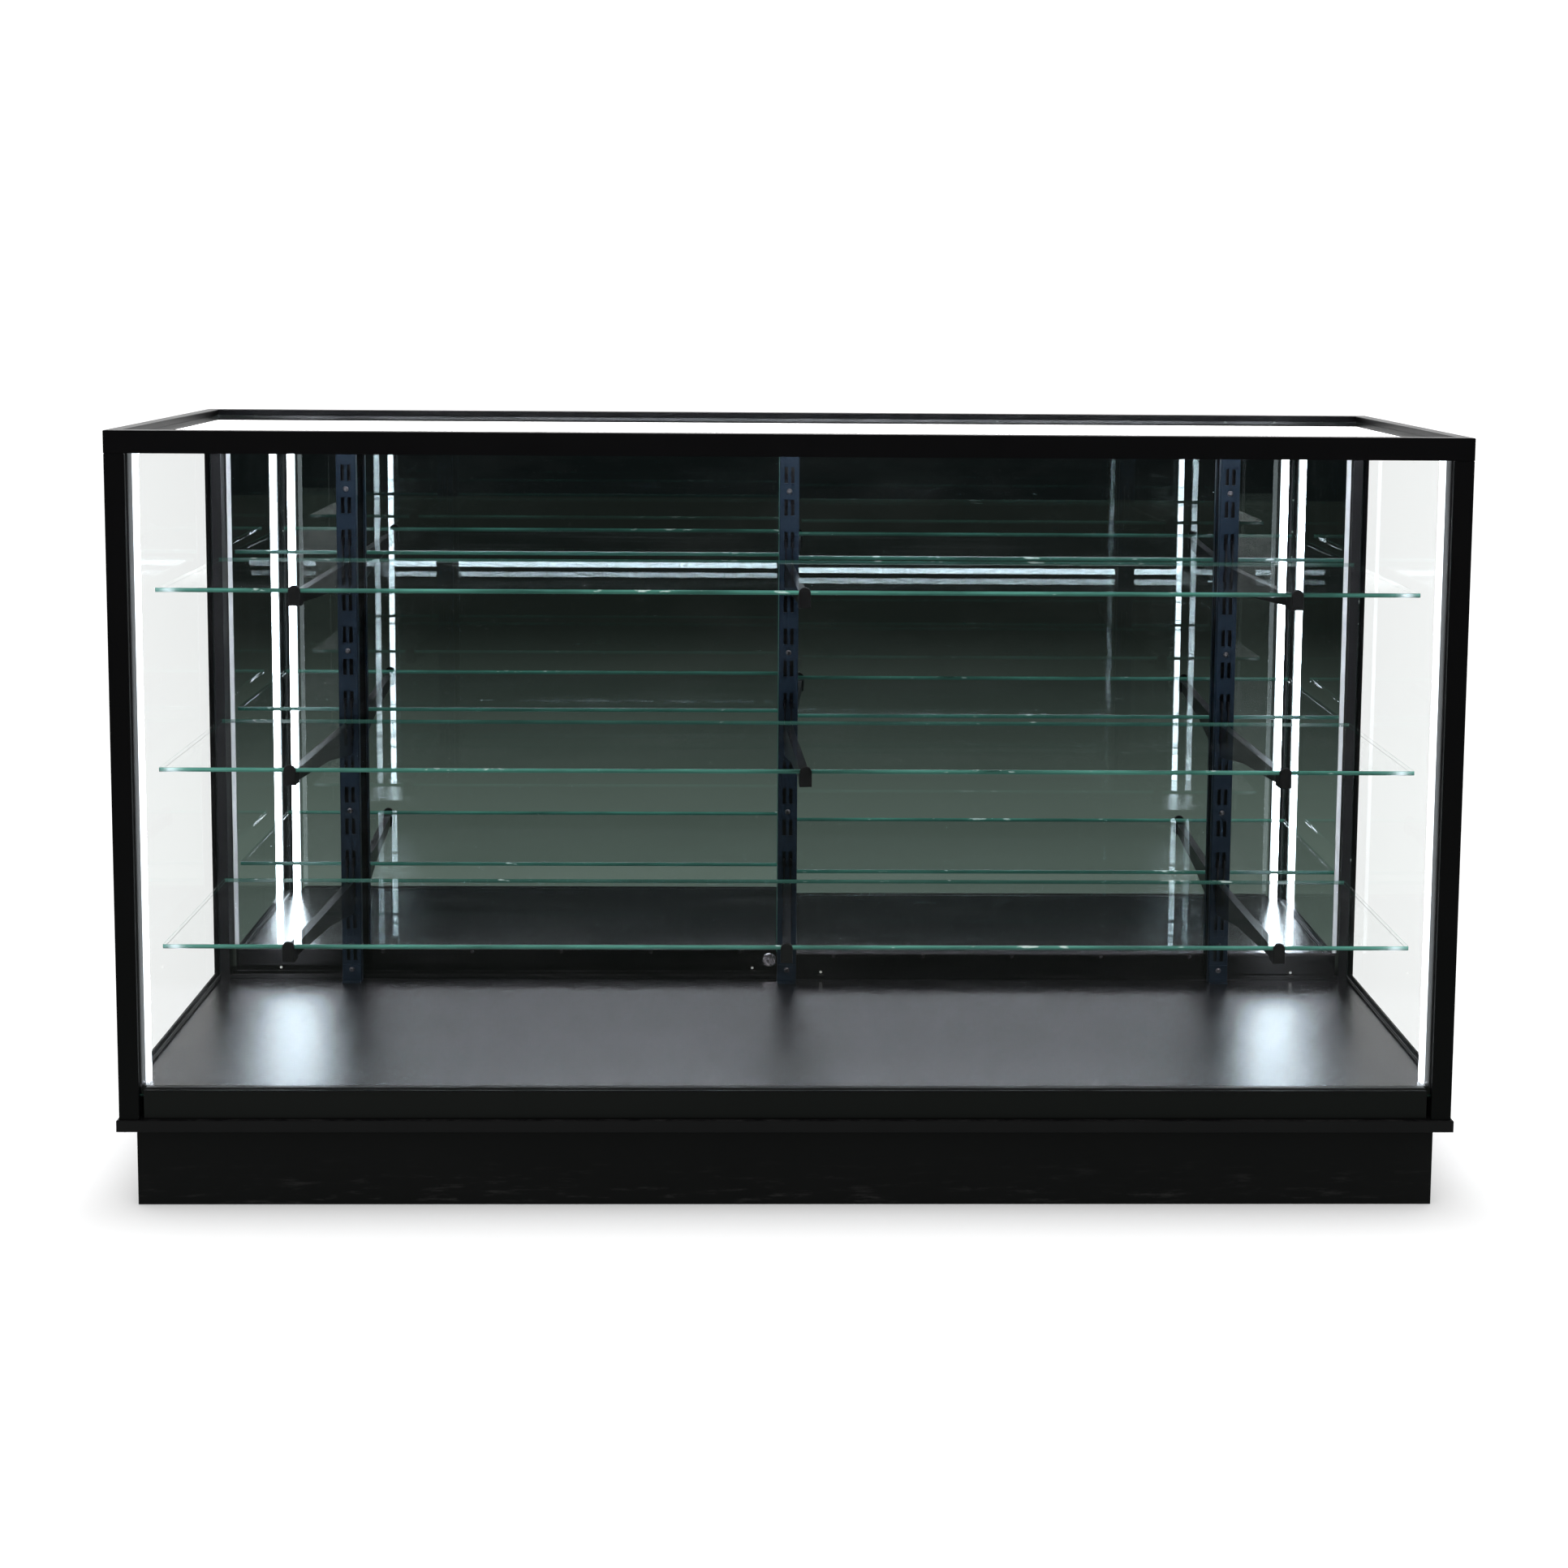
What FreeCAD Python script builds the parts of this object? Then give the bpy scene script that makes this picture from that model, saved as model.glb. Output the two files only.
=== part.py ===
import FreeCAD, Part
import math
import os

os.makedirs("parts", exist_ok=True)

V = FreeCAD.Vector

# Everything is in millimetres. X runs to the right, Y from the customer's side to the rear, Z up.
# A depth t is measured back from the front face of the posts, and u inward from their outer face.

# overall size over the posts
WIDTH = 1800.0
DEPTH = 500.0
HEIGHT = 1055.0
HALF_W = WIDTH / 2
HALF_D = DEPTH / 2

# base
PLINTH_H = 110.0
PLINTH_INSET = 18.0
BOARD = 16.0
LEDGE = 3.0
LEDGE_EASE = 1.0
BASE_TOP = PLINTH_H + BOARD
DECK_TOP = 166.0
DECK_T = 16.0
DECK_FRONT = 20.3
DECK_BACK = 447.7
DECK_HALF = 883.7
CROSS_RAIL_X = (-300.0, 300.0)
CROSS_RAIL_Z = 40.0
BATTEN_X = (-600.0, -200.0, 200.0, 600.0)
BATTEN_W = 30.0
BATTEN_T = (62.0, 440.0)

# frame
RAIL = 30.0
RAIL_LIP = 20.0
RAIL_SHELF = 16.0
RAIL_SHELF_T = 4.0
POST_TOP = HEIGHT - RAIL
POST_W = 27.0
POST_D = 33.0
POST_GAP = 1.0
POST_GAP_IN = 0.8
REAR_POST_W = 30.0
REAR_POST_FRONT = 470.0
JAMB_U = 16.0
JAMB_FRONT = 448.0
EASE = 0.8
WALL = 2.0
SCREW_PORT_U = 7.0
SCREW_PORT_T = 4.6
SCREW_PORT_D = 4.2

# glazing
GLASS = 6.0
GLASS_U = 5.0
GROOVE_U = (4.8, 14.0)
GROOVE_DEPTH = 13.0
RAIL_GROOVE = 10.0
EDGE_PLAY = 1.0
STRIP = 2.4
STRIP_GAP = 0.3
STRIP_DEPTH = 8.0
FASCIA_HALF = 867.0
FASCIA_T = (3.0, 20.0)
SIDE_RAIL_U = (2.0, 16.0)
SIDE_RAIL_TOP = 168.5
SIDE_GROOVE_Z = 160.0

# doors and their tracks
JAMB_X = HALF_W - REAR_POST_W
TRACK_HALF = JAMB_X - 0.3
TRACK_T = (449.0, 489.0)
TRACK_WALL = 2.0
TRACK_MID = 469.0
LOWER_LIP_Z = 173.0
RUNNER_W = 2.0
RUNNER_H = 2.0
UPPER_TRACK_Z = 1000.0
FRONT_DOOR_T = 459.5
REAR_DOOR_T = 478.5
DOOR_OUTER = 866.0
DOOR_LAP = 16.0
DOOR_RAIL_T = 12.0
DOOR_RAIL_Z = (172.0, 207.0)
DOOR_RAIL_R = 2.8
MIRROR = 5.0
MIRROR_SLOT = 5.4
MIRROR_Z = (198.3, 1012.0)
MIRROR_SLOT_Z = 198.0
GLIDE_L = 60.0
GLIDE_HALF = 8.0
GLIDE_Z = (1006.0, 1016.0)
GLIDE_END = 40.0
SEAL_X = (862.0, 868.5)
SEAL_HALF = 4.0
SEAL_Z = (207.3, 1004.0)
PULL_L = 90.0
PULL_W = 30.0
PULL_T = 8.0
PULL_DISH = 5.0
PULL_Z = 600.0
PULL_X = 815.0

# rollers
ROLLER_TREAD_R = 6.0
ROLLER_RIM_R = 7.5
ROLLER_HALF = 3.0
ROLLER_GROOVE_HALF = 1.5
ROLLER_PIN_R = 2.0
ROLLER_PIN_HALF = 5.7
ROLLER_FIT = 0.05
ROLLER_LIFT = 0.3
ROLLER_IN = 70.0
ROLLER_POCKET = 24.0
ROLLER_POCKET_T = 7.0
ROLLER_POCKET_TOP = 185.0
ROLLER_Z = DECK_TOP + WALL + RUNNER_H + ROLLER_TREAD_R + ROLLER_LIFT

# push lock
LOCK_X = -27.0
LOCK_Z = 190.0
LOCK_BARREL_R = 7.0
LOCK_HEAD_R = 10.0
LOCK_NUT_R = 11.0
LOCK_NUT_T = 2.5
LOCK_HEAD_T = 3.0
LOCK_ROUND = 1.2
LOCK_BOLT_R = 4.0
LOCK_CORE_R = 5.5
LOCK_PLUG_R = 3.5
LOCK_PLUG_L = 8.0
LOCK_FIT = 0.05
LOCK_TRENCH_Z = (185.0, 195.0)
LOCK_TRENCH_STOP = 4.0

# slotted standards
STANDARD_X = (-677.0, 0.0, 677.0)
STANDARD_NAMES = ("left", "centre", "right")
STANDARD_W = 30.0
STANDARD_T = (436.0, 449.0)
STANDARD_WALL = 1.5
STANDARD_TOP = 1022.0
SLOT_PITCH = 50.0
SLOT_FIRST = 200.0
SLOT_COUNT = 16
SLOT_H = 25.0
SLOT_W = 5.5
SLOT_SPREAD = 5.0
WEB_SCREW_Z = (437.5, 687.5, 937.5)
TRACK_SCREW_Z = 1012.0
BACK_BAR_W = 25.0
BACK_BAR_T = (444.0, 447.5)
BACK_BAR_TOP = 990.0
FOOT_T = 8.0
FOOT_H = 28.0
FOOT_PLATE = 2.0
FOOT_SCREW_UP = 20.0
SCREW_R = 2.0
SCREW_HOLE_R = 2.2
SCREW_HEAD_R = 4.2
SCREW_HEAD_H = 2.0

# shelves and brackets
SHELF_TOPS = (332.0, 582.0, 832.0)
SHELF_NAMES = ("bottom", "middle", "top")
SHELF_HALF = 870.0
SHELF_T = (110.0, 430.0)
ARM_PLATE = 2.0
ARM_HALF = 6.0
ARM_FRONT = 111.0
ARM_BACK = 435.4
ARM_STEP = 126.0
HOOK_BACK = 441.5
HOOK_NOSE = 438.1
CAP_HALF = 8.5
CAP_FRONT = 104.5
CAP_LIP = 5.0
CAP_DROP = 24.0
CAP_PLAY = 1.5
ARM_PIVOT = 437.0
# the arms hang with some play in the slots: sideways lean of each tip, by shelf and standard
ARM_LEAN = ((-19.0, -3.0, 10.0), (-13.0, 22.0, 12.0), (-3.0, 19.0, 22.0))

# lighting
LIGHT_X = 873.5
LIGHT_W = 12.0
LIGHT_T = (33.0, 41.0)
LIGHT_WALL = 1.2
LIGHT_BOTTOM = 167.0
LIGHT_BEND_R = 12.0
LIGHT_Z = 1029.5
LINK_X = (736.0, 774.0)
LENS_HALF = 4.4
LENS_LIP = 5.8
LENS_TIP = 43.5
DRIVER_X = (-695.0, -545.0)
DRIVER_T = (24.0, 58.0)
DRIVER_H = 20.0
LEAD_R = 2.0
LEAD_T = 37.0
LEAD_Z = 138.0
LEAD_BEND = 12.0
LEAD_HOLE_R = 3.0
CORD_BORE_R = 6.0
CORD_BORE_X = -620.0
CORD_BORE_Z = 146.0


def y_at(t):
    return t - HALF_D


def block(x0, x1, t0, t1, z0, z1):
    return Part.makeBox(x1 - x0, t1 - t0, z1 - z0, V(x0, y_at(t0), z0))


def prism(points, direction):
    wire = Part.makePolygon(points + [points[0]])
    return Part.Face(wire).extrude(direction)


def rod_y(radius, x, z, t0, t1):
    return Part.makeCylinder(radius, t1 - t0, V(x, y_at(t0), z), V(0, 1, 0))


def rod_z(radius, x, t, z0, z1):
    return Part.makeCylinder(radius, z1 - z0, V(x, y_at(t), z0), V(0, 0, 1))


def flipped(shape):
    return shape.mirror(V(0, 0, 0), V(1, 0, 0))


def both_sides(shape):
    return [flipped(shape), shape]


def save(name, shape):
    if isinstance(shape, list):
        shape = Part.makeCompound(shape)
    shape.exportStep("parts/" + name + ".step")


# base

def plinth():
    edge = HALF_W - PLINTH_INSET
    front = PLINTH_INSET
    back = DEPTH - PLINTH_INSET
    save("plinth_front", block(-edge, edge, front, front + BOARD, 0, PLINTH_H))
    save("plinth_rear", block(-edge, edge, back - BOARD, back, 0, PLINTH_H))
    end = block(edge - BOARD, edge, front + BOARD, back - BOARD, 0, PLINTH_H)
    save("plinth_ends", both_sides(end))
    rails = []
    for x in CROSS_RAIL_X:
        rails.append(block(x - BOARD / 2, x + BOARD / 2, front + BOARD, back - BOARD, CROSS_RAIL_Z, PLINTH_H))
    save("plinth_cross_rails", rails)


def post_screw_points():
    x = HALF_W - SCREW_PORT_U
    points = []
    for side in (-1, 1):
        points.append((side * x, SCREW_PORT_T))
        points.append((side * x, DEPTH - SCREW_PORT_T))
    return points


def base_board():
    edge = HALF_W + LEDGE
    board = block(-edge, edge, -LEDGE, DEPTH + LEDGE, PLINTH_H, BASE_TOP)
    rim = [e for e in board.Edges if abs(e.CenterOfMass.z - BASE_TOP) < 0.01]
    rim += [e for e in board.Edges if abs(e.CenterOfMass.z - PLINTH_H) < 0.01]
    board = board.makeFillet(LEDGE_EASE, rim)
    for x, t in post_screw_points():
        board = board.cut(rod_z(SCREW_HOLE_R, x, t, PLINTH_H - 1, BASE_TOP + 1))
    save("base_board", board)


def deck():
    panel = block(-DECK_HALF, DECK_HALF, DECK_FRONT, DECK_BACK, DECK_TOP - DECK_T, DECK_TOP)
    notch_x = HALF_W - POST_W - 0.3
    notch = block(notch_x, HALF_W, 0, POST_D + 0.3, 0, HEIGHT)
    lead_hole = rod_z(LEAD_HOLE_R, LIGHT_X, LEAD_T, 0, HEIGHT)
    for tool in both_sides(notch) + both_sides(lead_hole):
        panel = panel.cut(tool)
    save("deck_panel", panel)
    battens = []
    for x in BATTEN_X:
        battens.append(block(x - BATTEN_W / 2, x + BATTEN_W / 2, *BATTEN_T, BASE_TOP, DECK_TOP - DECK_T))
    save("deck_battens", battens)


def bottom_rails():
    fascia = block(-FASCIA_HALF, FASCIA_HALF, *FASCIA_T, BASE_TOP, DECK_TOP)
    brow = [e for e in fascia.Edges if abs(e.CenterOfMass.z - DECK_TOP) < 0.01 and e.Length > 100]
    fascia = fascia.makeFillet(EASE, brow)
    groove = block(-HALF_W, HALF_W, *GROOVE_U, DECK_TOP - RAIL_GROOVE, HEIGHT)
    t0, t1 = FASCIA_T
    roof = DECK_TOP - RAIL_GROOVE - WALL
    hollow = block(-HALF_W, HALF_W, t0 + WALL, t1 - WALL, BASE_TOP + WALL, roof)
    save("front_bottom_rail", fascia.cut(groove).cut(hollow))
    outer = HALF_W - SIDE_RAIL_U[0]
    inner = HALF_W - SIDE_RAIL_U[1]
    side = block(inner, outer, POST_D, REAR_POST_FRONT, BASE_TOP, SIDE_RAIL_TOP)
    slot = block(HALF_W - GROOVE_U[1], HALF_W - GROOVE_U[0], 0, DEPTH, SIDE_GROOVE_Z, HEIGHT)
    tube = block(inner + WALL, outer - WALL, 0, DEPTH, BASE_TOP + WALL, SIDE_GROOVE_Z - WALL)
    side = side.cut(slot).cut(tube)
    save("right_bottom_rail", side)
    save("left_bottom_rail", flipped(side))
    rear = block(-TRACK_HALF, TRACK_HALF, JAMB_FRONT, DEPTH - 3.0, BASE_TOP, DECK_TOP)
    tube = block(-HALF_W, HALF_W, JAMB_FRONT + WALL, DEPTH - 3.0 - WALL, BASE_TOP + WALL, DECK_TOP - WALL)
    bore = rod_y(CORD_BORE_R, CORD_BORE_X, CORD_BORE_Z, 0, DEPTH + 10)
    save("rear_bottom_rail", rear.cut(tube).cut(bore))


# frame

def profile_at(points, z):
    return [V(HALF_W - u, y_at(t), z) for u, t in points]


def front_post():
    outline = [
        (EASE, 0), (POST_W - EASE, 0), (POST_W, EASE), (POST_W, POST_D - EASE),
        (POST_W - EASE, POST_D), (EASE, POST_D), (0, POST_D - EASE), (0, EASE),
    ]
    post = prism(profile_at(outline, BASE_TOP), V(0, 0, POST_TOP - BASE_TOP))
    x_in = HALF_W - POST_W
    front_groove = block(x_in, x_in + GROOVE_DEPTH, *GROOVE_U, 0, HEIGHT)
    side_groove = block(HALF_W - GROOVE_U[1], HALF_W - GROOVE_U[0], POST_D - GROOVE_DEPTH, POST_D, 0, HEIGHT)
    inner_u = GROOVE_U[1] + WALL
    outer_hollow = block(HALF_W - 12.0, HALF_W - WALL, 8.5, 16.0, 0, HEIGHT)
    inner_hollow = block(x_in + WALL, HALF_W - inner_u, inner_u, POST_D - WALL, 0, HEIGHT)
    port = rod_z(SCREW_PORT_D / 2, HALF_W - SCREW_PORT_U, SCREW_PORT_T, 0, HEIGHT)
    for tool in (front_groove, side_groove, outer_hollow, inner_hollow, port, shadow_gap()):
        post = post.cut(tool)
    return post


def shadow_gap():
    """The ring that sets the top end of a front post back under the rail."""
    z0 = POST_TOP - POST_GAP
    x_in = HALF_W - POST_W
    ring = block(x_in - 1, HALF_W + 1, -1, POST_D + 1, z0, HEIGHT)
    gap = POST_GAP_IN
    return ring.cut(block(x_in + gap, HALF_W - gap, gap, POST_D - gap, z0 - 1, HEIGHT + 1))


def rear_post():
    outline = [
        (0, REAR_POST_FRONT), (JAMB_U, REAR_POST_FRONT), (JAMB_U, JAMB_FRONT), (REAR_POST_W, JAMB_FRONT),
        (REAR_POST_W, DEPTH), (EASE, DEPTH), (0, DEPTH - EASE),
    ]
    post = prism(profile_at(outline, BASE_TOP), V(0, 0, POST_TOP - BASE_TOP))
    groove = block(
        HALF_W - GROOVE_U[1], HALF_W - GROOVE_U[0],
        REAR_POST_FRONT, REAR_POST_FRONT + GROOVE_DEPTH, 0, HEIGHT,
    )
    x_in = HALF_W - REAR_POST_W
    hollow = block(x_in + WALL, HALF_W - JAMB_U - WALL, JAMB_FRONT + WALL, DEPTH - WALL, 0, HEIGHT)
    port = rod_z(SCREW_PORT_D / 2, HALF_W - SCREW_PORT_U, DEPTH - SCREW_PORT_T, 0, HEIGHT)
    return post.cut(groove).cut(hollow).cut(port)


def posts():
    for name, post in (("front", front_post()), ("rear", rear_post())):
        save(name + "_right_post", post)
        save(name + "_left_post", flipped(post))


def rail_profile():
    return [
        (0, 0), (RAIL_LIP, 0), (RAIL_LIP, RAIL_SHELF - RAIL_SHELF_T), (RAIL, RAIL_SHELF - RAIL_SHELF_T),
        (RAIL, RAIL_SHELF), (RAIL_LIP, RAIL_SHELF),
        (RAIL_LIP, RAIL - EASE), (RAIL_LIP - EASE, RAIL), (EASE, RAIL), (0, RAIL - EASE),
    ]


def rail_blank(point, run, half):
    body = prism([point(u, z) for u, z in rail_profile()], run)
    g0, g1 = GROOVE_U
    groove = [(g0, -1), (g1, -1), (g1, RAIL_GROOVE), (g0, RAIL_GROOVE)]
    in_u = RAIL_LIP - WALL
    hollow = [(WALL, RAIL_SHELF + WALL), (in_u, RAIL_SHELF + WALL), (in_u, RAIL - WALL), (WALL, RAIL - WALL)]
    for outline in (groove, hollow):
        body = body.cut(prism([point(u, z) for u, z in outline], run))
    return body


def mitred(blank, corners):
    plan = [V(x, y, POST_TOP - 5) for x, y in corners]
    return blank.common(prism(plan, V(0, 0, RAIL + 10)))


def top_rails():
    def front_point(u, z):
        return V(-HALF_W, -HALF_D + u, POST_TOP + z)

    def side_point(u, z):
        return V(HALF_W - u, -HALF_D, POST_TOP + z)

    reach = HALF_W - RAIL
    inset = HALF_D - RAIL
    front = rail_blank(front_point, V(WIDTH, 0, 0), HALF_W)
    front = mitred(front, [(-HALF_W, -HALF_D), (HALF_W, -HALF_D), (reach, -inset), (-reach, -inset)])
    right = rail_blank(side_point, V(0, DEPTH, 0), HALF_D)
    right = mitred(right, [(HALF_W, -HALF_D), (HALF_W, HALF_D), (reach, inset), (reach, -inset)])
    save("top_front_rail", front)
    save("top_rear_rail", front.mirror(V(0, 0, 0), V(0, 1, 0)))
    save("top_right_rail", right)
    save("top_left_rail", flipped(right))


def corner_keys():
    fit = 0.2
    leg = 60.0
    z0 = POST_TOP + RAIL_SHELF + WALL + fit
    z1 = POST_TOP + RAIL - WALL - fit
    near = WALL + fit
    far = RAIL_LIP - WALL - fit
    along_x = block(HALF_W - leg, HALF_W - near, near, far, z0, z1)
    along_y = block(HALF_W - far, HALF_W - near, near, leg, z0, z1)
    key = along_x.fuse(along_y).removeSplitter()
    pair = both_sides(key)
    save("top_corner_keys", pair + [k.mirror(V(0, 0, 0), V(0, 1, 0)) for k in pair])


def frame_screws():
    screws = []
    for x, t in post_screw_points():
        head = rod_z(SCREW_HEAD_R, x, t, PLINTH_H - 2.4, PLINTH_H)
        shank = rod_z(SCREW_R, x, t, PLINTH_H, BASE_TOP + 26)
        screws.append(head.fuse(shank))
    save("frame_screws", screws)


def panes():
    top = POST_TOP + RAIL_GROOVE - EDGE_PLAY
    inner = GLASS_U + GLASS
    half = HALF_W - POST_W + GROOVE_DEPTH - EDGE_PLAY
    front = block(-half, half, GLASS_U, inner, DECK_TOP - RAIL_GROOVE + EDGE_PLAY, top)
    save("front_glass", front)
    t0 = POST_D - GROOVE_DEPTH + EDGE_PLAY
    t1 = REAR_POST_FRONT + GROOVE_DEPTH - EDGE_PLAY
    side = block(HALF_W - inner, HALF_W - GLASS_U, t0, t1, SIDE_GROOVE_Z + EDGE_PLAY, top)
    save("right_glass", side)
    save("left_glass", flipped(side))
    u = RAIL_LIP + 0.5
    seat = POST_TOP + RAIL_SHELF
    save("top_glass", block(-HALF_W + u, HALF_W - u, u, DEPTH - u, seat, seat + GLASS))


def glazing_strips():
    u0 = GLASS_U + GLASS + STRIP_GAP
    u1 = u0 + STRIP
    strips = []
    x_in = HALF_W - POST_W
    upright = block(x_in - 0.5, x_in + STRIP_DEPTH, u0, u1, DECK_TOP + 1, POST_TOP - 1)
    strips += both_sides(upright)
    lower = block(-FASCIA_HALF, FASCIA_HALF, u0, u1, DECK_TOP - STRIP_DEPTH, DECK_TOP + 0.5)
    strips.append(lower)
    x0 = HALF_W - u1
    x1 = HALF_W - u0
    fore = block(x0, x1, POST_D - STRIP_DEPTH, POST_D + 0.5, SIDE_RAIL_TOP + 1, POST_TOP - 1)
    aft = block(x0, x1, REAR_POST_FRONT - 0.5, REAR_POST_FRONT + STRIP_DEPTH, SIDE_RAIL_TOP + 1, POST_TOP - 1)
    low = block(x0, x1, POST_D + 2, REAR_POST_FRONT - 2, SIDE_RAIL_TOP - STRIP_DEPTH, SIDE_RAIL_TOP + 0.5)
    for strip in (fore, aft, low):
        strips += both_sides(strip)
    save("glazing_strips", strips)


# doors

def tracks():
    t0, t1 = TRACK_T
    walls = (t0, TRACK_MID - TRACK_WALL / 2, t1 - TRACK_WALL)
    lower = block(-TRACK_HALF, TRACK_HALF, t0, t1, DECK_TOP, DECK_TOP + WALL)
    upper = block(-TRACK_HALF, TRACK_HALF, t0, t1, POST_TOP - WALL, POST_TOP)
    for t in walls:
        lower = lower.fuse(block(-TRACK_HALF, TRACK_HALF, t, t + TRACK_WALL, DECK_TOP, LOWER_LIP_Z))
        upper = upper.fuse(block(-TRACK_HALF, TRACK_HALF, t, t + TRACK_WALL, UPPER_TRACK_Z, POST_TOP))
    for t in (FRONT_DOOR_T, REAR_DOOR_T):
        runner = block(
            -TRACK_HALF, TRACK_HALF, t - RUNNER_W / 2, t + RUNNER_W / 2,
            DECK_TOP, DECK_TOP + WALL + RUNNER_H,
        )
        lower = lower.fuse(runner)
    for x in STANDARD_X:
        upper = upper.cut(rod_y(SCREW_HOLE_R, x, TRACK_SCREW_Z, t0 - 1, t0 + TRACK_WALL + 1))
    lower = lower.removeSplitter()
    lips = [e for e in lower.Edges if abs(e.CenterOfMass.z - LOWER_LIP_Z) < 0.01 and e.Length > 100]
    save("door_track_bottom", lower.makeFillet(EASE, lips))
    save("door_track_top", upper.removeSplitter())


def roller_points(x0, x1):
    return (x0 + ROLLER_IN, x1 - ROLLER_IN)


def roller(x, t):
    def disc(radius, t0, t1):
        return rod_y(radius, x, ROLLER_Z, t0, t1)

    wheel = disc(ROLLER_RIM_R, t - ROLLER_HALF, t - ROLLER_GROOVE_HALF)
    wheel = wheel.fuse(disc(ROLLER_TREAD_R, t - ROLLER_GROOVE_HALF, t + ROLLER_GROOVE_HALF))
    wheel = wheel.fuse(disc(ROLLER_RIM_R, t + ROLLER_GROOVE_HALF, t + ROLLER_HALF))
    wheel = wheel.fuse(disc(ROLLER_PIN_R, t - ROLLER_PIN_HALF, t + ROLLER_PIN_HALF))
    return wheel.removeSplitter()


def door_rail(x0, x1, t):
    half = DOOR_RAIL_T / 2
    z0, z1 = DOOR_RAIL_Z
    rail = block(x0, x1, t - half, t + half, z0, z1)
    lip = [e for e in rail.Edges if abs(e.CenterOfMass.z - z1) < 0.01 and e.Length > 100]
    rail = rail.makeFillet(DOOR_RAIL_R, lip)
    rail = rail.cut(block(x0 - 1, x1 + 1, t - MIRROR_SLOT / 2, t + MIRROR_SLOT / 2, MIRROR_SLOT_Z, z1 + 1))
    for x in roller_points(x0, x1):
        pocket = block(
            x - ROLLER_POCKET / 2, x + ROLLER_POCKET / 2,
            t - ROLLER_POCKET_T / 2, t + ROLLER_POCKET_T / 2, z0 - 1, ROLLER_POCKET_TOP,
        )
        rail = rail.cut(pocket).cut(rod_y(ROLLER_PIN_R + ROLLER_FIT, x, ROLLER_Z, t - half - 1, t + half + 1))
    return rail


def door_glides(x0, x1, t):
    glides = []
    for x in (x0 + GLIDE_END, x1 - GLIDE_END - GLIDE_L):
        glide = block(x, x + GLIDE_L, t - GLIDE_HALF, t + GLIDE_HALF, *GLIDE_Z)
        slot = block(x - 1, x + GLIDE_L + 1, t - MIRROR / 2, t + MIRROR / 2, GLIDE_Z[0] - 1, MIRROR_Z[1])
        glides.append(glide.cut(slot))
    return glides


def edge_seal(side, t):
    seal = block(*SEAL_X, t - SEAL_HALF, t + SEAL_HALF, *SEAL_Z)
    seal = seal.cut(block(SEAL_X[0] - 1, DOOR_OUTER, t - MIRROR / 2, t + MIRROR / 2, 0, HEIGHT))
    return seal if side > 0 else flipped(seal)


def finger_pull(side, t):
    z0 = PULL_Z - PULL_L / 2
    face = t + MIRROR / 2
    x0 = side * PULL_X - PULL_W / 2
    pull = block(x0, x0 + PULL_W, face, face + PULL_T, z0, z0 + PULL_L)
    corners = [e for e in pull.Edges if abs(e.Length - PULL_T) < 0.01]
    pull = pull.makeFillet(6.0, corners)
    rim = 4.0
    dish = block(
        x0 + rim, x0 + PULL_W - rim, face + PULL_T - PULL_DISH, face + PULL_T + 1,
        z0 + rim, z0 + PULL_L - rim,
    )
    dish_corners = [e for e in dish.Edges if abs(e.Length - PULL_DISH - 1) < 0.01]
    return pull.cut(dish.makeFillet(4.0, dish_corners))


def doors():
    for name, side, t in (("left", -1, REAR_DOOR_T), ("right", 1, FRONT_DOOR_T)):
        x0 = -DOOR_OUTER if side < 0 else -DOOR_LAP
        x1 = DOOR_LAP if side < 0 else DOOR_OUTER
        save(name + "_door_mirror", block(x0, x1, t - MIRROR / 2, t + MIRROR / 2, *MIRROR_Z))
        rail = door_rail(x0, x1, t)
        if side < 0:
            rail = rail.cut(rod_y(LOCK_BARREL_R, LOCK_X, LOCK_Z, t - DOOR_RAIL_T, t + DOOR_RAIL_T))
        else:
            trench = block(x0 + LOCK_TRENCH_STOP, x1 - LOCK_TRENCH_STOP, t, t + DOOR_RAIL_T, *LOCK_TRENCH_Z)
            rail = rail.cut(trench)
        save(name + "_door_bottom_rail", rail)
        save(name + "_door_top_glides", door_glides(x0, x1, t))
        save(name + "_door_edge_seal", edge_seal(side, t))
        save(name + "_door_pull", finger_pull(side, t))
        ends = roller_points(x0, x1)
        outer = ends[0] if side < 0 else ends[1]
        inner = ends[1] if side < 0 else ends[0]
        save(name + "_roller_outer", roller(outer, t))
        save(name + "_roller_inner", roller(inner, t))


def edges_at(shape, t):
    return [e for e in shape.Edges if abs(e.CenterOfMass.y - y_at(t)) < 0.01]


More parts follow.
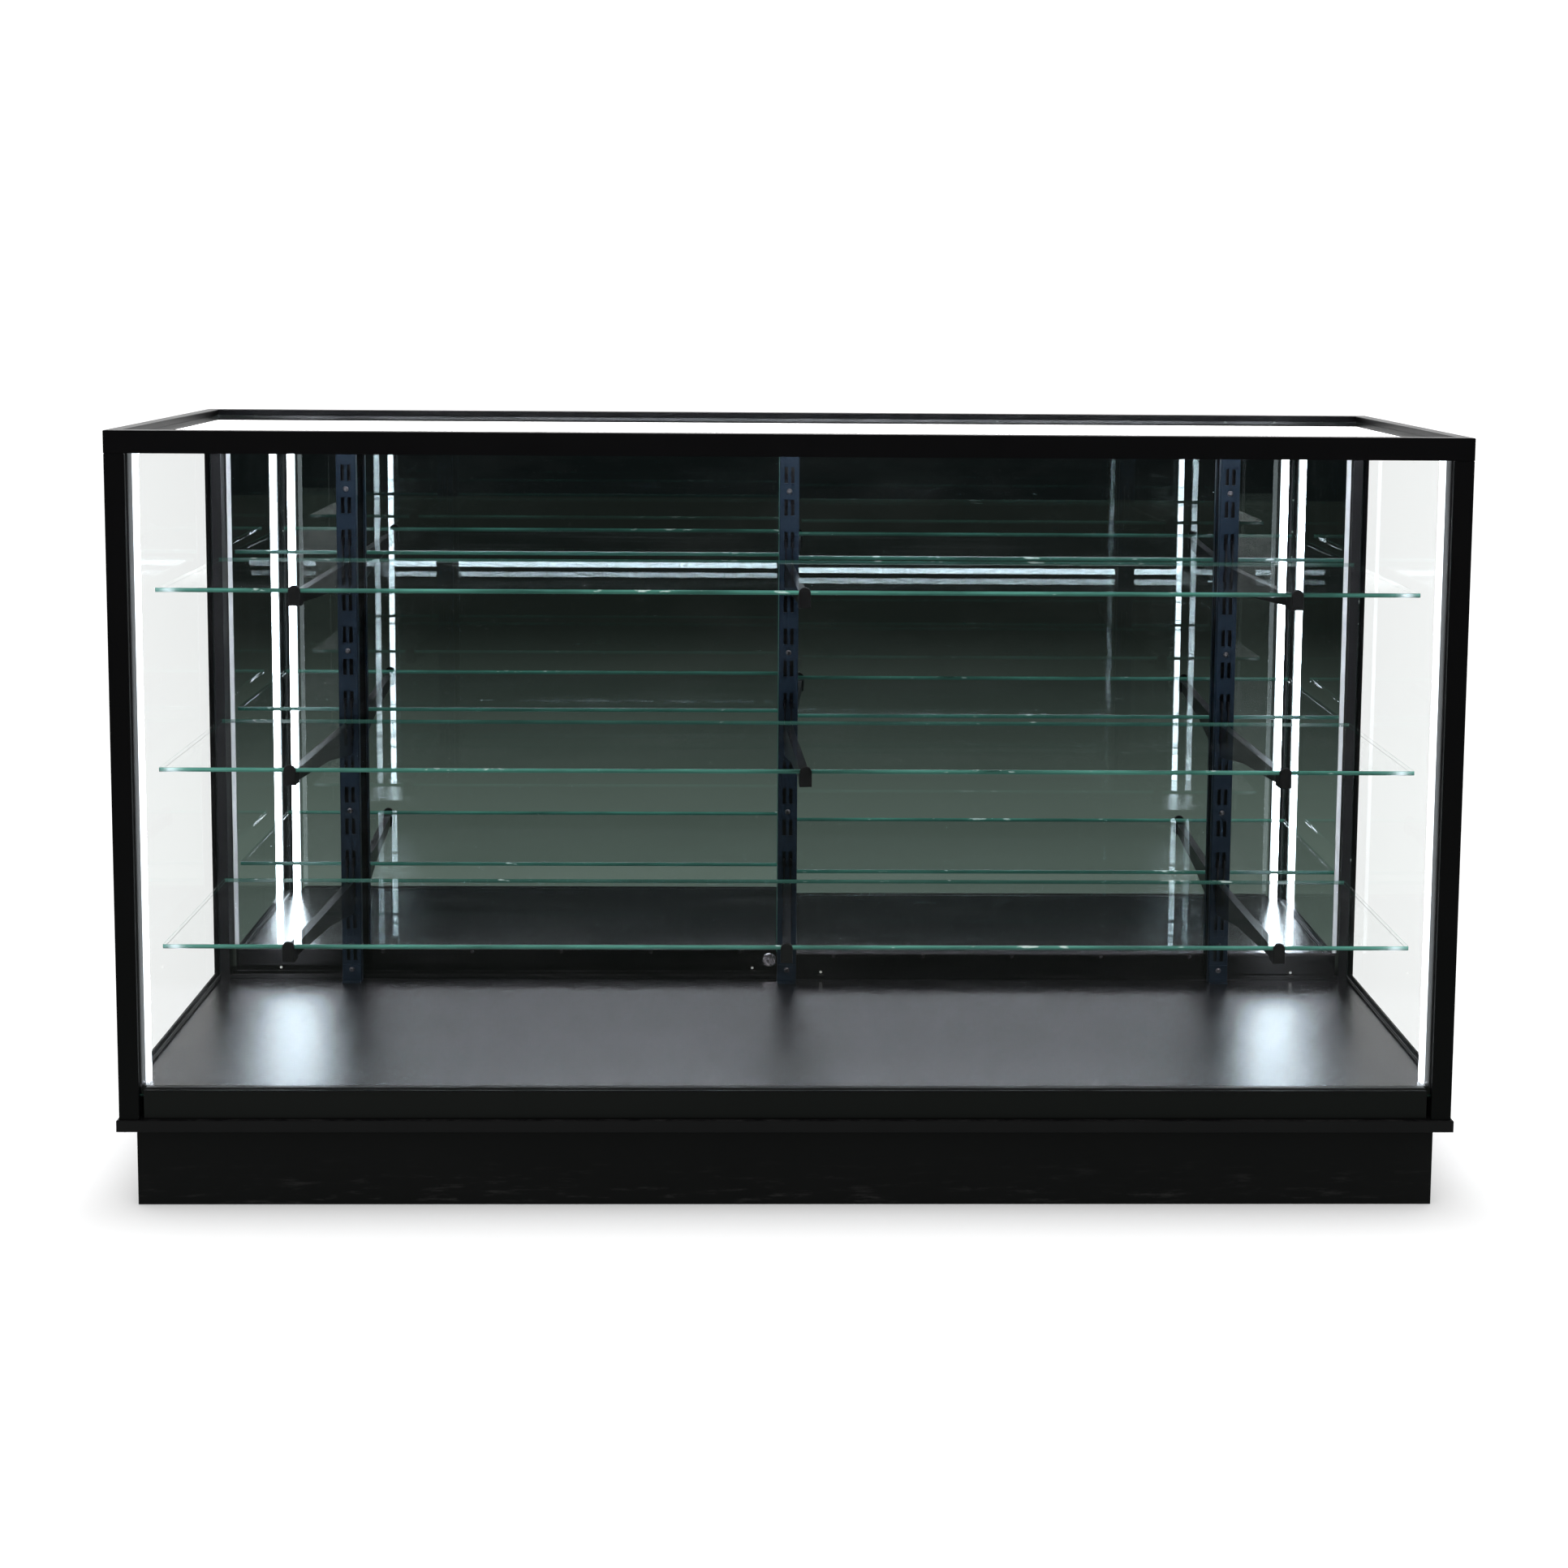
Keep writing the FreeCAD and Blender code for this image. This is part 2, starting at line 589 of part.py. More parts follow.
def lock():
    front = REAR_DOOR_T - DOOR_RAIL_T / 2
    back = REAR_DOOR_T + DOOR_RAIL_T / 2
    face = back + LOCK_HEAD_T
    step = front + 1.5
    nut = rod_y(LOCK_NUT_R, LOCK_X, LOCK_Z, front - LOCK_NUT_T, front)
    nut = nut.makeFillet(LOCK_ROUND, edges_at(nut, front - LOCK_NUT_T))
    head = rod_y(LOCK_HEAD_R, LOCK_X, LOCK_Z, back, face)
    head = head.makeFillet(LOCK_ROUND, edges_at(head, face))
    body = rod_y(LOCK_BARREL_R, LOCK_X, LOCK_Z, front, back).fuse([nut, head])
    body = body.cut(rod_y(LOCK_BOLT_R + LOCK_FIT, LOCK_X, LOCK_Z, front - LOCK_NUT_T - 1, back))
    body = body.cut(rod_y(LOCK_CORE_R + LOCK_FIT, LOCK_X, LOCK_Z, step, face + 1))
    save("lock_body", body.removeSplitter())
    tip = front - 1.5
    shoulder = back - 0.5
    end = face + 8.5
    plunger = rod_y(LOCK_BOLT_R, LOCK_X, LOCK_Z, tip, shoulder)
    plunger = plunger.fuse(rod_y(LOCK_CORE_R, LOCK_X, LOCK_Z, shoulder, end))
    plunger = plunger.cut(rod_y(LOCK_PLUG_R + LOCK_FIT, LOCK_X, LOCK_Z, end - LOCK_PLUG_L, end + 1))
    save("lock_plunger", plunger.removeSplitter())
    plug = rod_y(LOCK_PLUG_R, LOCK_X, LOCK_Z, end - LOCK_PLUG_L + 0.3, end)
    keyway = block(LOCK_X - 0.6, LOCK_X + 0.6, end - 5, end + 1, LOCK_Z - 2.4, LOCK_Z + 2.4)
    save("lock_plug", plug.cut(keyway))


# shelving

def standard(x):
    t0, t1 = STANDARD_T
    half = STANDARD_W / 2
    channel = block(x - half, x + half, t0, t1, DECK_TOP, STANDARD_TOP)
    edges = [e for e in channel.Edges if abs(e.CenterOfMass.y - y_at(t0)) < 0.01 and e.Length > 100]
    channel = channel.makeFillet(STANDARD_WALL, edges)
    inside = half - STANDARD_WALL
    cuts = [block(x - inside, x + inside, t0 + STANDARD_WALL, t1 + 1, 0, HEIGHT)]
    for k in range(SLOT_COUNT):
        z = SLOT_FIRST + k * SLOT_PITCH
        for side in (-1, 1):
            sx = x + side * SLOT_SPREAD
            slot_back = t0 + STANDARD_WALL + 1
            cuts.append(block(sx - SLOT_W / 2, sx + SLOT_W / 2, t0 - 1, slot_back, z, z + SLOT_H))
    for z in WEB_SCREW_Z + (TRACK_SCREW_Z, DECK_TOP + FOOT_SCREW_UP):
        cuts.append(rod_y(SCREW_HOLE_R, x, z, t0 - 1, t0 + STANDARD_WALL + 1))
    return channel.cut(cuts)


def standard_screws():
    screws = []
    web = STANDARD_T[0]
    bar_back = BACK_BAR_T[1] - 0.5
    foot_face = web - FOOT_PLATE
    spots = [(z, web, bar_back) for z in WEB_SCREW_Z]
    spots.append((TRACK_SCREW_Z, web, TRACK_T[0] + TRACK_WALL - 0.2))
    spots.append((DECK_TOP + FOOT_SCREW_UP, foot_face, bar_back))
    for x in STANDARD_X:
        for z, face, end in spots:
            head = rod_y(SCREW_HEAD_R, x, z, face - SCREW_HEAD_H, face)
            head = head.makeFillet(1.4, edges_at(head, face - SCREW_HEAD_H))
            screws.append(head.fuse(rod_y(SCREW_R, x, z, face, end)))
    save("standard_screws", screws)


def back_bars():
    bars = []
    half = BACK_BAR_W / 2
    for x in STANDARD_X:
        bar = block(x - half, x + half, *BACK_BAR_T, DECK_TOP, BACK_BAR_TOP)
        for z in WEB_SCREW_Z + (DECK_TOP + FOOT_SCREW_UP,):
            bar = bar.cut(rod_y(SCREW_HOLE_R, x, z, BACK_BAR_T[0] - 1, BACK_BAR_T[1] + 1))
        bars.append(bar)
    save("standard_back_bars", bars)


def standard_feet():
    feet = []
    t1 = STANDARD_T[0]
    half = STANDARD_W / 2 - 1.0
    for x in STANDARD_X:
        flat = block(x - half, x + half, t1 - FOOT_T, t1, DECK_TOP, DECK_TOP + FOOT_PLATE)
        up = block(x - half, x + half, t1 - FOOT_PLATE, t1, DECK_TOP, DECK_TOP + FOOT_H)
        foot = flat.fuse(up).removeSplitter()
        foot = foot.cut(rod_y(SCREW_HOLE_R, x, DECK_TOP + FOOT_SCREW_UP, t1 - FOOT_PLATE - 1, t1 + 1))
        feet.append(foot)
    save("standard_feet", feet)


def arm_outline(s):
    hook_up = s + 18.2
    hook_low = s - 31.8
    return [
        (ARM_FRONT, s - 22), (ARM_FRONT, s - 8), (ARM_STEP, s - 8), (ARM_STEP, s - GLASS),
        (431.0, s - GLASS), (431.0, s + 29), (433.0, s + 31),
        (HOOK_BACK, s + 31), (HOOK_BACK, s + 9), (HOOK_NOSE, s + 9), (HOOK_NOSE, hook_up),
        (ARM_BACK, hook_up),
        (ARM_BACK, s - 20), (HOOK_BACK, s - 20), (HOOK_BACK, s - 41), (HOOK_NOSE, s - 41),
        (HOOK_NOSE, hook_low), (ARM_BACK, hook_low), (ARM_BACK, s - 54), (424.0, s - 54), (300.0, s - 34),
        (ARM_STEP + 4, s - 22),
    ]


def bracket_arm(x, s):
    points = arm_outline(s)
    shape = None
    for side in (-1, 1):
        x0 = x + side * (ARM_HALF - ARM_PLATE / 2) - ARM_PLATE / 2
        plate = prism([V(x0, y_at(t), z) for t, z in points], V(ARM_PLATE, 0, 0))
        shape = plate if shape is None else shape.fuse(plate)
    low = block(x - ARM_HALF, x + ARM_HALF, ARM_FRONT, ARM_STEP + 1, s - 10, s - 8)
    high = block(x - ARM_HALF, x + ARM_HALF, ARM_STEP, 425.0, s - 8, s - GLASS)
    joggle = block(x - ARM_HALF, x + ARM_HALF, ARM_STEP, ARM_STEP + 2, s - 10, s - GLASS)
    return shape.fuse([low, high, joggle]).removeSplitter()


def cap_outline(x, s):
    shoulder = s + CAP_LIP - CAP_HALF
    points = [(x + CAP_HALF, s - CAP_DROP), (x + CAP_HALF, shoulder)]
    steps = 8
    for i in range(1, steps):
        a = math.pi * i / steps
        points.append((x + CAP_HALF * math.cos(a), shoulder + CAP_HALF * math.sin(a)))
    points += [(x - CAP_HALF, shoulder), (x - CAP_HALF, s - CAP_DROP)]
    return [V(px, y_at(CAP_FRONT), pz) for px, pz in points]


def bracket_cap(x, s):
    face = SHELF_T[0] - CAP_PLAY
    cap = prism(cap_outline(x, s), V(0, face - CAP_FRONT, 0))
    cap = cap.fuse(block(x - CAP_HALF, x + CAP_HALF, face, ARM_STEP - 0.3, s - CAP_DROP, s - GLASS))
    socket = ARM_HALF + 0.1
    pocket = block(x - socket, x + socket, ARM_FRONT - 0.2, ARM_STEP + 1, s - 22.2, s - 8)
    return cap.removeSplitter().cut(pocket)


def swung(shape, x, lean):
    angle = math.degrees(math.asin(lean / (ARM_PIVOT - CAP_FRONT)))
    return shape.rotated(V(x, y_at(ARM_PIVOT), 0), V(0, 0, 1), angle)


def shelving():
    arms = []
    caps = []
    for name, s, leans in zip(SHELF_NAMES, SHELF_TOPS, ARM_LEAN):
        shelf = block(-SHELF_HALF, SHELF_HALF, *SHELF_T, s - GLASS, s)
        save("shelf_" + name, shelf)
        for x, lean in zip(STANDARD_X, leans):
            arms.append(swung(bracket_arm(x, s), x, lean))
            caps.append(swung(bracket_cap(x, s), x, lean))
    save("shelf_brackets", arms)
    save("bracket_caps", caps)
    for name, x in zip(STANDARD_NAMES, STANDARD_X):
        save("standard_" + name, standard(x))
    standard_screws()
    back_bars()
    standard_feet()


# lighting

def channel_section():
    half = LIGHT_W / 2
    t0, t1 = LIGHT_T
    wall = LIGHT_WALL
    return [
        (-half, t0), (half, t0), (half, t1), (half - wall, t1), (half - wall, t0 + wall),
        (-half + wall, t0 + wall), (-half + wall, t1), (-half, t1),
    ]


def lens_section():
    seat = LIGHT_T[1] - 4
    rim = LIGHT_T[1] + 0.2
    return [
        (-LENS_HALF, seat), (LENS_HALF, seat), (LENS_HALF, rim), (LENS_LIP, rim), (LENS_LIP, rim + 0.8),
        (LENS_LIP - 1.8, LENS_TIP), (-LENS_LIP + 1.8, LENS_TIP), (-LENS_LIP, rim + 0.8),
        (-LENS_LIP, rim), (-LENS_HALF, rim),
    ]


def light_run(section):
    """One upright length, its bend and the short level length, on the right-hand side."""
    bend_x = LIGHT_X - LIGHT_BEND_R
    bend_z = LIGHT_Z - LIGHT_BEND_R
    upright = [V(LIGHT_X + w, y_at(t), LIGHT_BOTTOM) for w, t in section]
    level = [V(bend_x, y_at(t), LIGHT_Z + w) for w, t in section]
    start = [V(LIGHT_X + w, y_at(t), bend_z) for w, t in section]
    face = Part.Face(Part.makePolygon(start + [start[0]]))
    bend = face.revolve(V(bend_x, 0, bend_z), V(0, -1, 0), 90)
    run = prism(upright, V(0, 0, bend_z - LIGHT_BOTTOM))
    run = run.fuse([bend, prism(level, V(LINK_X[1] - bend_x, 0, 0))])
    return run.removeSplitter()


def light_bar(section):
    points = [V(-LINK_X[0], y_at(t), LIGHT_Z + w) for w, t in section]
    return prism(points, V(2 * LINK_X[0], 0, 0))


def lead(points):
    """A round lead through the given points, with a bend at the middle one."""
    a, b, c = points
    p = b + (a - b).normalize() * LEAD_BEND
    q = b + (c - b).normalize() * LEAD_BEND
    centre = p + (q - b)
    mid = centre + (b - centre).normalize() * LEAD_BEND
    path = Part.Wire([Part.makeLine(a, p), Part.Arc(p, mid, q).toShape(), Part.makeLine(q, c)])
    ring = Part.Wire([Part.makeCircle(LEAD_R, a, b - a)])
    return path.makePipeShell([ring], True, False)


def lighting():
    for name, section in (("led_channels", channel_section()), ("led_lenses", lens_section())):
        save(name, both_sides(light_run(section)) + [light_bar(section)])
    half = LIGHT_W / 2 - 0.5
    link = block(*LINK_X, LIGHT_T[0], LIGHT_T[1] + 1, LIGHT_Z - half, LIGHT_Z + half)
    solids = both_sides(link)
    y = y_at(LEAD_T)
    for side, end in ((-1, DRIVER_X[0]), (1, DRIVER_X[1])):
        x = side * LIGHT_X
        solids.append(lead([V(x, y, LIGHT_BOTTOM - 0.3), V(x, y, LEAD_Z), V(end, y, LEAD_Z)]))
    save("led_wiring", solids)
    driver = block(*DRIVER_X, *DRIVER_T, BASE_TOP, BASE_TOP + DRIVER_H)
    top = [e for e in driver.Edges if abs(e.CenterOfMass.z - BASE_TOP - DRIVER_H) < 0.01]
    save("led_driver", driver.makeFillet(2.0, top))


plinth()
base_board()
deck()
bottom_rails()
posts()
top_rails()
corner_keys()
frame_screws()
panes()
glazing_strips()
tracks()
doors()
lock()
shelving()
lighting()
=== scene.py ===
import math

import bmesh
import bpy
from mathutils import Matrix, Vector


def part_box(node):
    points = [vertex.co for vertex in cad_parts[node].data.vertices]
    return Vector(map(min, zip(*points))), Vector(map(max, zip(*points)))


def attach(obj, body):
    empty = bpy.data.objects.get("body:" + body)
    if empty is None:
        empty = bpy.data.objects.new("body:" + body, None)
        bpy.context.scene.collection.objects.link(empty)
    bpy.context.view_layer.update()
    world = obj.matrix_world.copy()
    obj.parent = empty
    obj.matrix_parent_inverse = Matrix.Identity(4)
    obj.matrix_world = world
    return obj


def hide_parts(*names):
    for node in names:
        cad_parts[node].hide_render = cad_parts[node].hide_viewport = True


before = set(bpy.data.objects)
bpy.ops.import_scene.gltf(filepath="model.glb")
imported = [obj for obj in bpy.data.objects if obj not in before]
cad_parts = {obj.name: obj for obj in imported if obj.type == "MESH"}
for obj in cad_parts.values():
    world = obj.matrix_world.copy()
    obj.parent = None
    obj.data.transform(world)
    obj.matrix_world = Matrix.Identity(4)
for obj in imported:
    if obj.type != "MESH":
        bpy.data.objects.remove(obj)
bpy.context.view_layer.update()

bl_info = {
    "name": "Glass Display Counter",
    "version": (1, 0, 0),
    "blender": (4, 5, 0),
    "location": "3D View > Sidebar > Counter",
    "description": "Finishes the parts of a glass display counter and sets its studio",
    "category": "Object",
}

PHOTO_SIZE = 1932
MM = 0.001
SHELVES = ("shelf_top", "shelf_middle", "shelf_bottom")
STANDARDS = ("standard_left", "standard_centre", "standard_right")
DOORS = ("left", "right")
# from the hook of an arm to the face of its cap, and how far each tip leans sideways in millimetres
ARM_REACH = 332.5 * MM
ARM_LEAN = ((-3.0, 19.0, 22.0), (-13.0, 22.0, 12.0), (-19.0, -3.0, 10.0))
# heights of the screws in a standard, between its pairs of slots
WEB_SCREWS = (0.4375, 0.6875, 0.9375, 1.012)
# between these heights the lights pass from the upright lengths to the one overhead
UPRIGHT_TOP = 1.008
OVERHEAD_FOOT = 1.022
# where the cord leaves the rear bottom rail
CORD_X = -0.62
CORD_Z = 0.146
# half the length and half the depth of the plinth
PLINTH_HALF = (0.88, 0.23)
WHITE = (1.0, 1.0, 1.0, 1.0)
BLACK = (0.0, 0.0, 0.0, 1.0)
# the slots of a glass sheet's mesh
FRONT, EDGE, BACK, END = range(4)


# settings a user would change

class CounterFinish(bpy.types.PropertyGroup):
    """Colours and surface sizes of the counter."""

    frame_colour: bpy.props.FloatVectorProperty(
        name="Frame", description="Powder coat of rails and posts", subtype="COLOR", size=3,
        default=(0.0016, 0.0016, 0.0018), min=0, max=1)
    laminate_colour: bpy.props.FloatVectorProperty(
        name="Laminate", description="Plinth and ledge", subtype="COLOR", size=3,
        default=(0.0040, 0.0040, 0.0042), min=0, max=1)
    deck_colour: bpy.props.FloatVectorProperty(
        name="Deck", description="Floor of the case", subtype="COLOR", size=3,
        default=(0.0070, 0.0065, 0.0074), min=0, max=1)
    slate_colour: bpy.props.FloatVectorProperty(
        name="Standards", description="Paint of the slotted standards", subtype="COLOR", size=3,
        default=(0.0045, 0.0088, 0.0148), min=0, max=1)
    # also the colour of the painted glow on glass edges
    edge_colour: bpy.props.FloatVectorProperty(
        name="Glass edge", description="Green of a polished glass edge", subtype="COLOR", size=3,
        default=(0.10, 0.34, 0.27), min=0, max=1)
    silver_colour: bpy.props.FloatVectorProperty(
        name="Mirror", description="Tint of the silvering seen through its glass", subtype="COLOR", size=3,
        default=(0.77, 0.85, 0.85), min=0, max=1)
    light_colour: bpy.props.FloatVectorProperty(
        name="Light", description="Colour of the lit lenses", subtype="COLOR", size=3,
        default=(0.86, 0.90, 1.0), min=0, max=1)
    light_power: bpy.props.FloatProperty(
        name="Light strength", description="Emission of the lit lenses", default=116.0, min=0, max=400)
    upright_share: bpy.props.FloatProperty(
        name="Uprights", description="Share of that strength in the upright lengths",
        default=0.34, min=0, max=1)
    pane_arris: bpy.props.FloatProperty(
        name="Arris", description="Width of the ground corner along each glass edge",
        default=0.8 * MM, min=0.1 * MM, max=2 * MM, unit="LENGTH")


class CounterHardware(bpy.types.PropertyGroup):
    """Sizes of the fastenings and of the rubber caps."""

    pan_radius: bpy.props.FloatProperty(
        name="Pan head", description="Radius of the standards' screw heads",
        default=4.2 * MM, min=1 * MM, max=8 * MM, unit="LENGTH")
    pan_height: bpy.props.FloatProperty(
        name="Pan height", description="Height of the standards' screw heads",
        default=2.0 * MM, min=0.5 * MM, max=4 * MM, unit="LENGTH")
    trim_radius: bpy.props.FloatProperty(
        name="Trim head", description="Radius of the trim screws on rails and boards",
        default=3.0 * MM, min=1 * MM, max=8 * MM, unit="LENGTH")
    trim_height: bpy.props.FloatProperty(
        name="Trim height", description="Height of the trim screws",
        default=0.9 * MM, min=0.3 * MM, max=4 * MM, unit="LENGTH")
    cap_bevel: bpy.props.FloatProperty(
        name="Cap rounding", description="Rounded edge of the rubber caps",
        default=1.6 * MM, min=0.2 * MM, max=3 * MM, unit="LENGTH")


class CounterStudio(bpy.types.PropertyGroup):
    """Camera and light of the studio."""

    camera_place: bpy.props.FloatVectorProperty(
        name="Camera", description="Where the camera stands", subtype="TRANSLATION", size=3,
        default=(-0.0284, -2.8893, 1.2356))
    camera_tilt: bpy.props.FloatProperty(
        name="Tilt", description="How far the camera looks down", subtype="ANGLE",
        default=math.radians(5.118))
    camera_pan: bpy.props.FloatProperty(
        name="Pan", description="How far the camera looks to the right", subtype="ANGLE",
        default=math.radians(0.949))
    camera_roll: bpy.props.FloatProperty(
        name="Roll", description="How far the camera leans", subtype="ANGLE",
        default=math.radians(0.402))
    focal_pixels: bpy.props.FloatProperty(
        name="Focal length", description="In pixels of the square frame", default=2487.1, min=500, max=9000)
    axis_x: bpy.props.FloatProperty(
        name="Axis across", description="Where the lens axis meets the frame, from the left, in pixels",
        default=991.1)
    axis_y: bpy.props.FloatProperty(
        name="Axis down", description="Where the lens axis meets the frame, from the top, in pixels",
        default=587.4)
    backdrop: bpy.props.FloatProperty(
        name="Backdrop", description="Brightness of the white backdrop", default=1.2, min=0, max=4)
    fill: bpy.props.FloatProperty(
        name="Fill", description="Brightness of the soft light all round", default=1.0, min=0, max=4)
    soft_box: bpy.props.FloatProperty(
        name="Soft box", description="Brightness of the soft box over the camera in reflections",
        default=4.5, min=0, max=12)
    room_wall: bpy.props.FloatVectorProperty(
        name="Room", description="What the mirrors see in front of the counter", subtype="COLOR", size=3,
        default=(0.005, 0.0065, 0.0065), min=0, max=1)
    room_floor: bpy.props.FloatVectorProperty(
        name="Room floor", description="Floor as the mirrors see it", subtype="COLOR", size=3,
        default=(0.17, 0.21, 0.18), min=0, max=1)


def finish_of():
    return bpy.context.scene.counter_finish


def hardware_of():
    return bpy.context.scene.counter_hardware


def studio_of():
    return bpy.context.scene.counter_studio


# shader maths

class Sock:
    """A socket in a node tree, on which arithmetic adds Math nodes."""

    def __init__(self, tree, socket):
        self.tree = tree
        self.socket = socket

    def maths(self, operation, first, second=0.0, clamp=False):
        settings = {"operation": operation, "use_clamp": clamp}
        return self.tree.node("ShaderNodeMath", settings, {0: first, 1: second})

    def __add__(self, other):
        return self.maths("ADD", self, other)

    def __radd__(self, other):
        return self.maths("ADD", other, self)

    def __sub__(self, other):
        return self.maths("SUBTRACT", self, other)

    def __rsub__(self, other):
        return self.maths("SUBTRACT", other, self)

    def __mul__(self, other):
        return self.maths("MULTIPLY", self, other)

    def __rmul__(self, other):
        return self.maths("MULTIPLY", other, self)

    def __pow__(self, other):
        return self.maths("POWER", self, other)

    def clamped(self):
        return self.maths("ADD", self, 0.0, clamp=True)

    def above(self, low, high):
        """0 below low and 1 above high, with a straight ramp between."""
        return ((self - low) * (1.0 / (high - low))).clamped()


class NodeTree:
    """Builds one node tree of a material or of the world."""

    def __init__(self, tree):
        self.tree = tree
        tree.nodes.clear()

    def node(self, kind, settings=None, sockets=None, output=0):
        made = self.tree.nodes.new(kind)
        for key, value in (settings or {}).items():
            setattr(made, key, value)
        for key, value in (sockets or {}).items():
            target = made.inputs[key]
            if isinstance(value, Sock):
                self.tree.links.new(value.socket, target)
            else:
                target.default_value = value
        if not made.outputs:
            return None
        return Sock(self, made.outputs[output])

    def place(self):
        return self.node("ShaderNodeTexCoord", output="Object")

    def stretched(self, scale):
        return self.node("ShaderNodeMapping", None, {"Vector": self.place(), "Scale": scale})

    def noise(self, scale, detail=3.0, rough=0.5, at=None):
        sockets = {"Vector": at or self.place(), "Scale": scale, "Detail": detail, "Roughness": rough}
        return self.node("ShaderNodeTexNoise", None, sockets, "Fac")

    def axis(self, vector, index):
        return self.node("ShaderNodeSeparateXYZ", None, {0: vector}, index)

    def facing(self, index):
        """How far the surface faces along an axis of the object."""
        return self.axis(self.node("ShaderNodeTexCoord", output="Normal"), index)

    def tint(self, low, high, amount):
        """One of two plain colours, or a mix of them."""
        return self.over((*low, 1.0), high, amount)

    def over(self, colour, top, amount):
        """A plain colour laid over another by an amount; 6, 7 and 2 are the Mix node's colour sockets."""
        sockets = {0: amount, 6: colour, 7: (*top, 1.0)}
        return self.node("ShaderNodeMix", {"data_type": "RGBA"}, sockets, 2)

    def bump(self, height, strength, distance):
        sockets = {"Strength": strength, "Distance": distance, "Height": height}
        return self.node("ShaderNodeBump", None, sockets)

    def blend(self, amount, first, second):
        return self.node("ShaderNodeMixShader", None, {0: amount, 1: first, 2: second})

    def principled(self, **sockets):
        named = {key.replace("_", " "): value for key, value in sockets.items()}
        return self.node("ShaderNodeBsdfPrincipled", None, named)

    def surface(self, shader):
        self.node("ShaderNodeOutputMaterial", None, {"Surface": shader})


def new_finish(name):
    material = bpy.data.materials.new(name)
    material.use_nodes = True
    return material, NodeTree(material.node_tree)


def scaled(colour, factor):
    return tuple(min(1.0, c * factor) for c in colour)


# finishes

def dust_mask(tree, amount):
    upward = tree.facing(2).above(0.6, 0.95)
    return upward * tree.noise(38.0, 5.0, 0.65).above(0.42, 0.8) * amount


def powder_coat(name, colour, rough=0.34, dust=0.10, gloss=0.15):
    material, tree = new_finish(name)
    cloud = tree.noise(7.0, 4.0)
    peel = tree.noise(620.0, 2.0, 0.4)
    base = tree.tint(scaled(colour, 0.82), scaled(colour, 1.25), cloud)
    base = tree.over(base, (0.22, 0.22, 0.21), dust_mask(tree, dust))
    shine = rough - 0.03 + 0.05 * tree.noise(26.0, 4.0) + 0.02 * peel
    tree.surface(tree.principled(
        Base_Color=base, Roughness=shine, Specular_IOR_Level=gloss,
        Normal=tree.bump(peel, 0.10, 0.0004)))
    return material


def board_laminate(name, colour, rough=0.42, gloss=0.12):
    material, tree = new_finish(name)
    pores = tree.noise(1.0, 5.0, 0.7, tree.stretched((60.0, 900.0, 900.0)))
    cloud = tree.noise(9.0, 5.0, 0.6)
    low = 1.0 - tree.axis(tree.place(), 2).above(0.004, 0.07)
    scuff = low * tree.noise(1.0, 6.0, 0.75, tree.stretched((14.0, 60.0, 120.0))).above(0.55, 0.75)
    base = tree.tint(scaled(colour, 0.75), scaled(colour, 1.35), cloud * 0.6 + pores * 0.4)
    base = tree.over(base, (0.10, 0.098, 0.094), scuff * 0.22)
    base = tree.over(base, (0.20, 0.20, 0.19), dust_mask(tree, 0.12))
    shine = rough - 0.06 + 0.12 * cloud + 0.08 * scuff
    tree.surface(tree.principled(
        Base_Color=base, Roughness=shine, Specular_IOR_Level=gloss,
        Normal=tree.bump(pores, 0.12, 0.0003)))
    return material


def deck_laminate(name, colour):
    material, tree = new_finish(name)
    pebble = tree.noise(2600.0, 1.0, 0.5)
    cloud = tree.noise(6.0, 4.0, 0.6)
    speck = tree.noise(310.0, 2.0, 0.4).above(0.70, 0.76)
    base = tree.tint(scaled(colour, 0.85), scaled(colour, 1.15), cloud)
    base = tree.over(base, (0.10, 0.10, 0.098), speck * 0.06)
    shine = 0.20 + 0.02 * cloud
    tree.surface(tree.principled(
        Base_Color=base, Roughness=shine, IOR=1.9, Specular_IOR_Level=1.0,
        Normal=tree.bump(pebble, 0.28, 0.0003)))
    return material


def pane_glass(name, haze=0.006, gloss=0.08):
    """A flat pane: clear straight through, with the gloss of a glass face."""
    material, tree = new_finish(name)
    facing = tree.node("ShaderNodeLayerWeight", None, {"Blend": 0.5}, "Facing")
    inside = tree.node("ShaderNodeNewGeometry", output="Backfacing")
    mirrored = (gloss + 0.92 * facing ** 5.0) * (1.0 - inside)
    clear = tree.node("ShaderNodeBsdfTransparent", None, {"Color": (0.990, 0.995, 0.993, 1.0)})
    mirror = tree.principled(Base_Color=(1.0, 1.0, 1.0, 1.0), Metallic=1.0, Roughness=0.0)
    wipe = tree.noise(1.0, 6.0, 0.62, tree.stretched((4.0, 22.0, 9.0))).above(0.5, 0.85)
    speck = tree.noise(240.0, 2.0, 0.5).above(0.73, 0.78)
    film = tree.principled(Base_Color=(0.78, 0.82, 0.81, 1.0), Roughness=0.8)
    tree.surface(tree.blend(wipe * haze + speck * haze * 3.0, tree.blend(mirrored, clear, mirror), film))
    return material


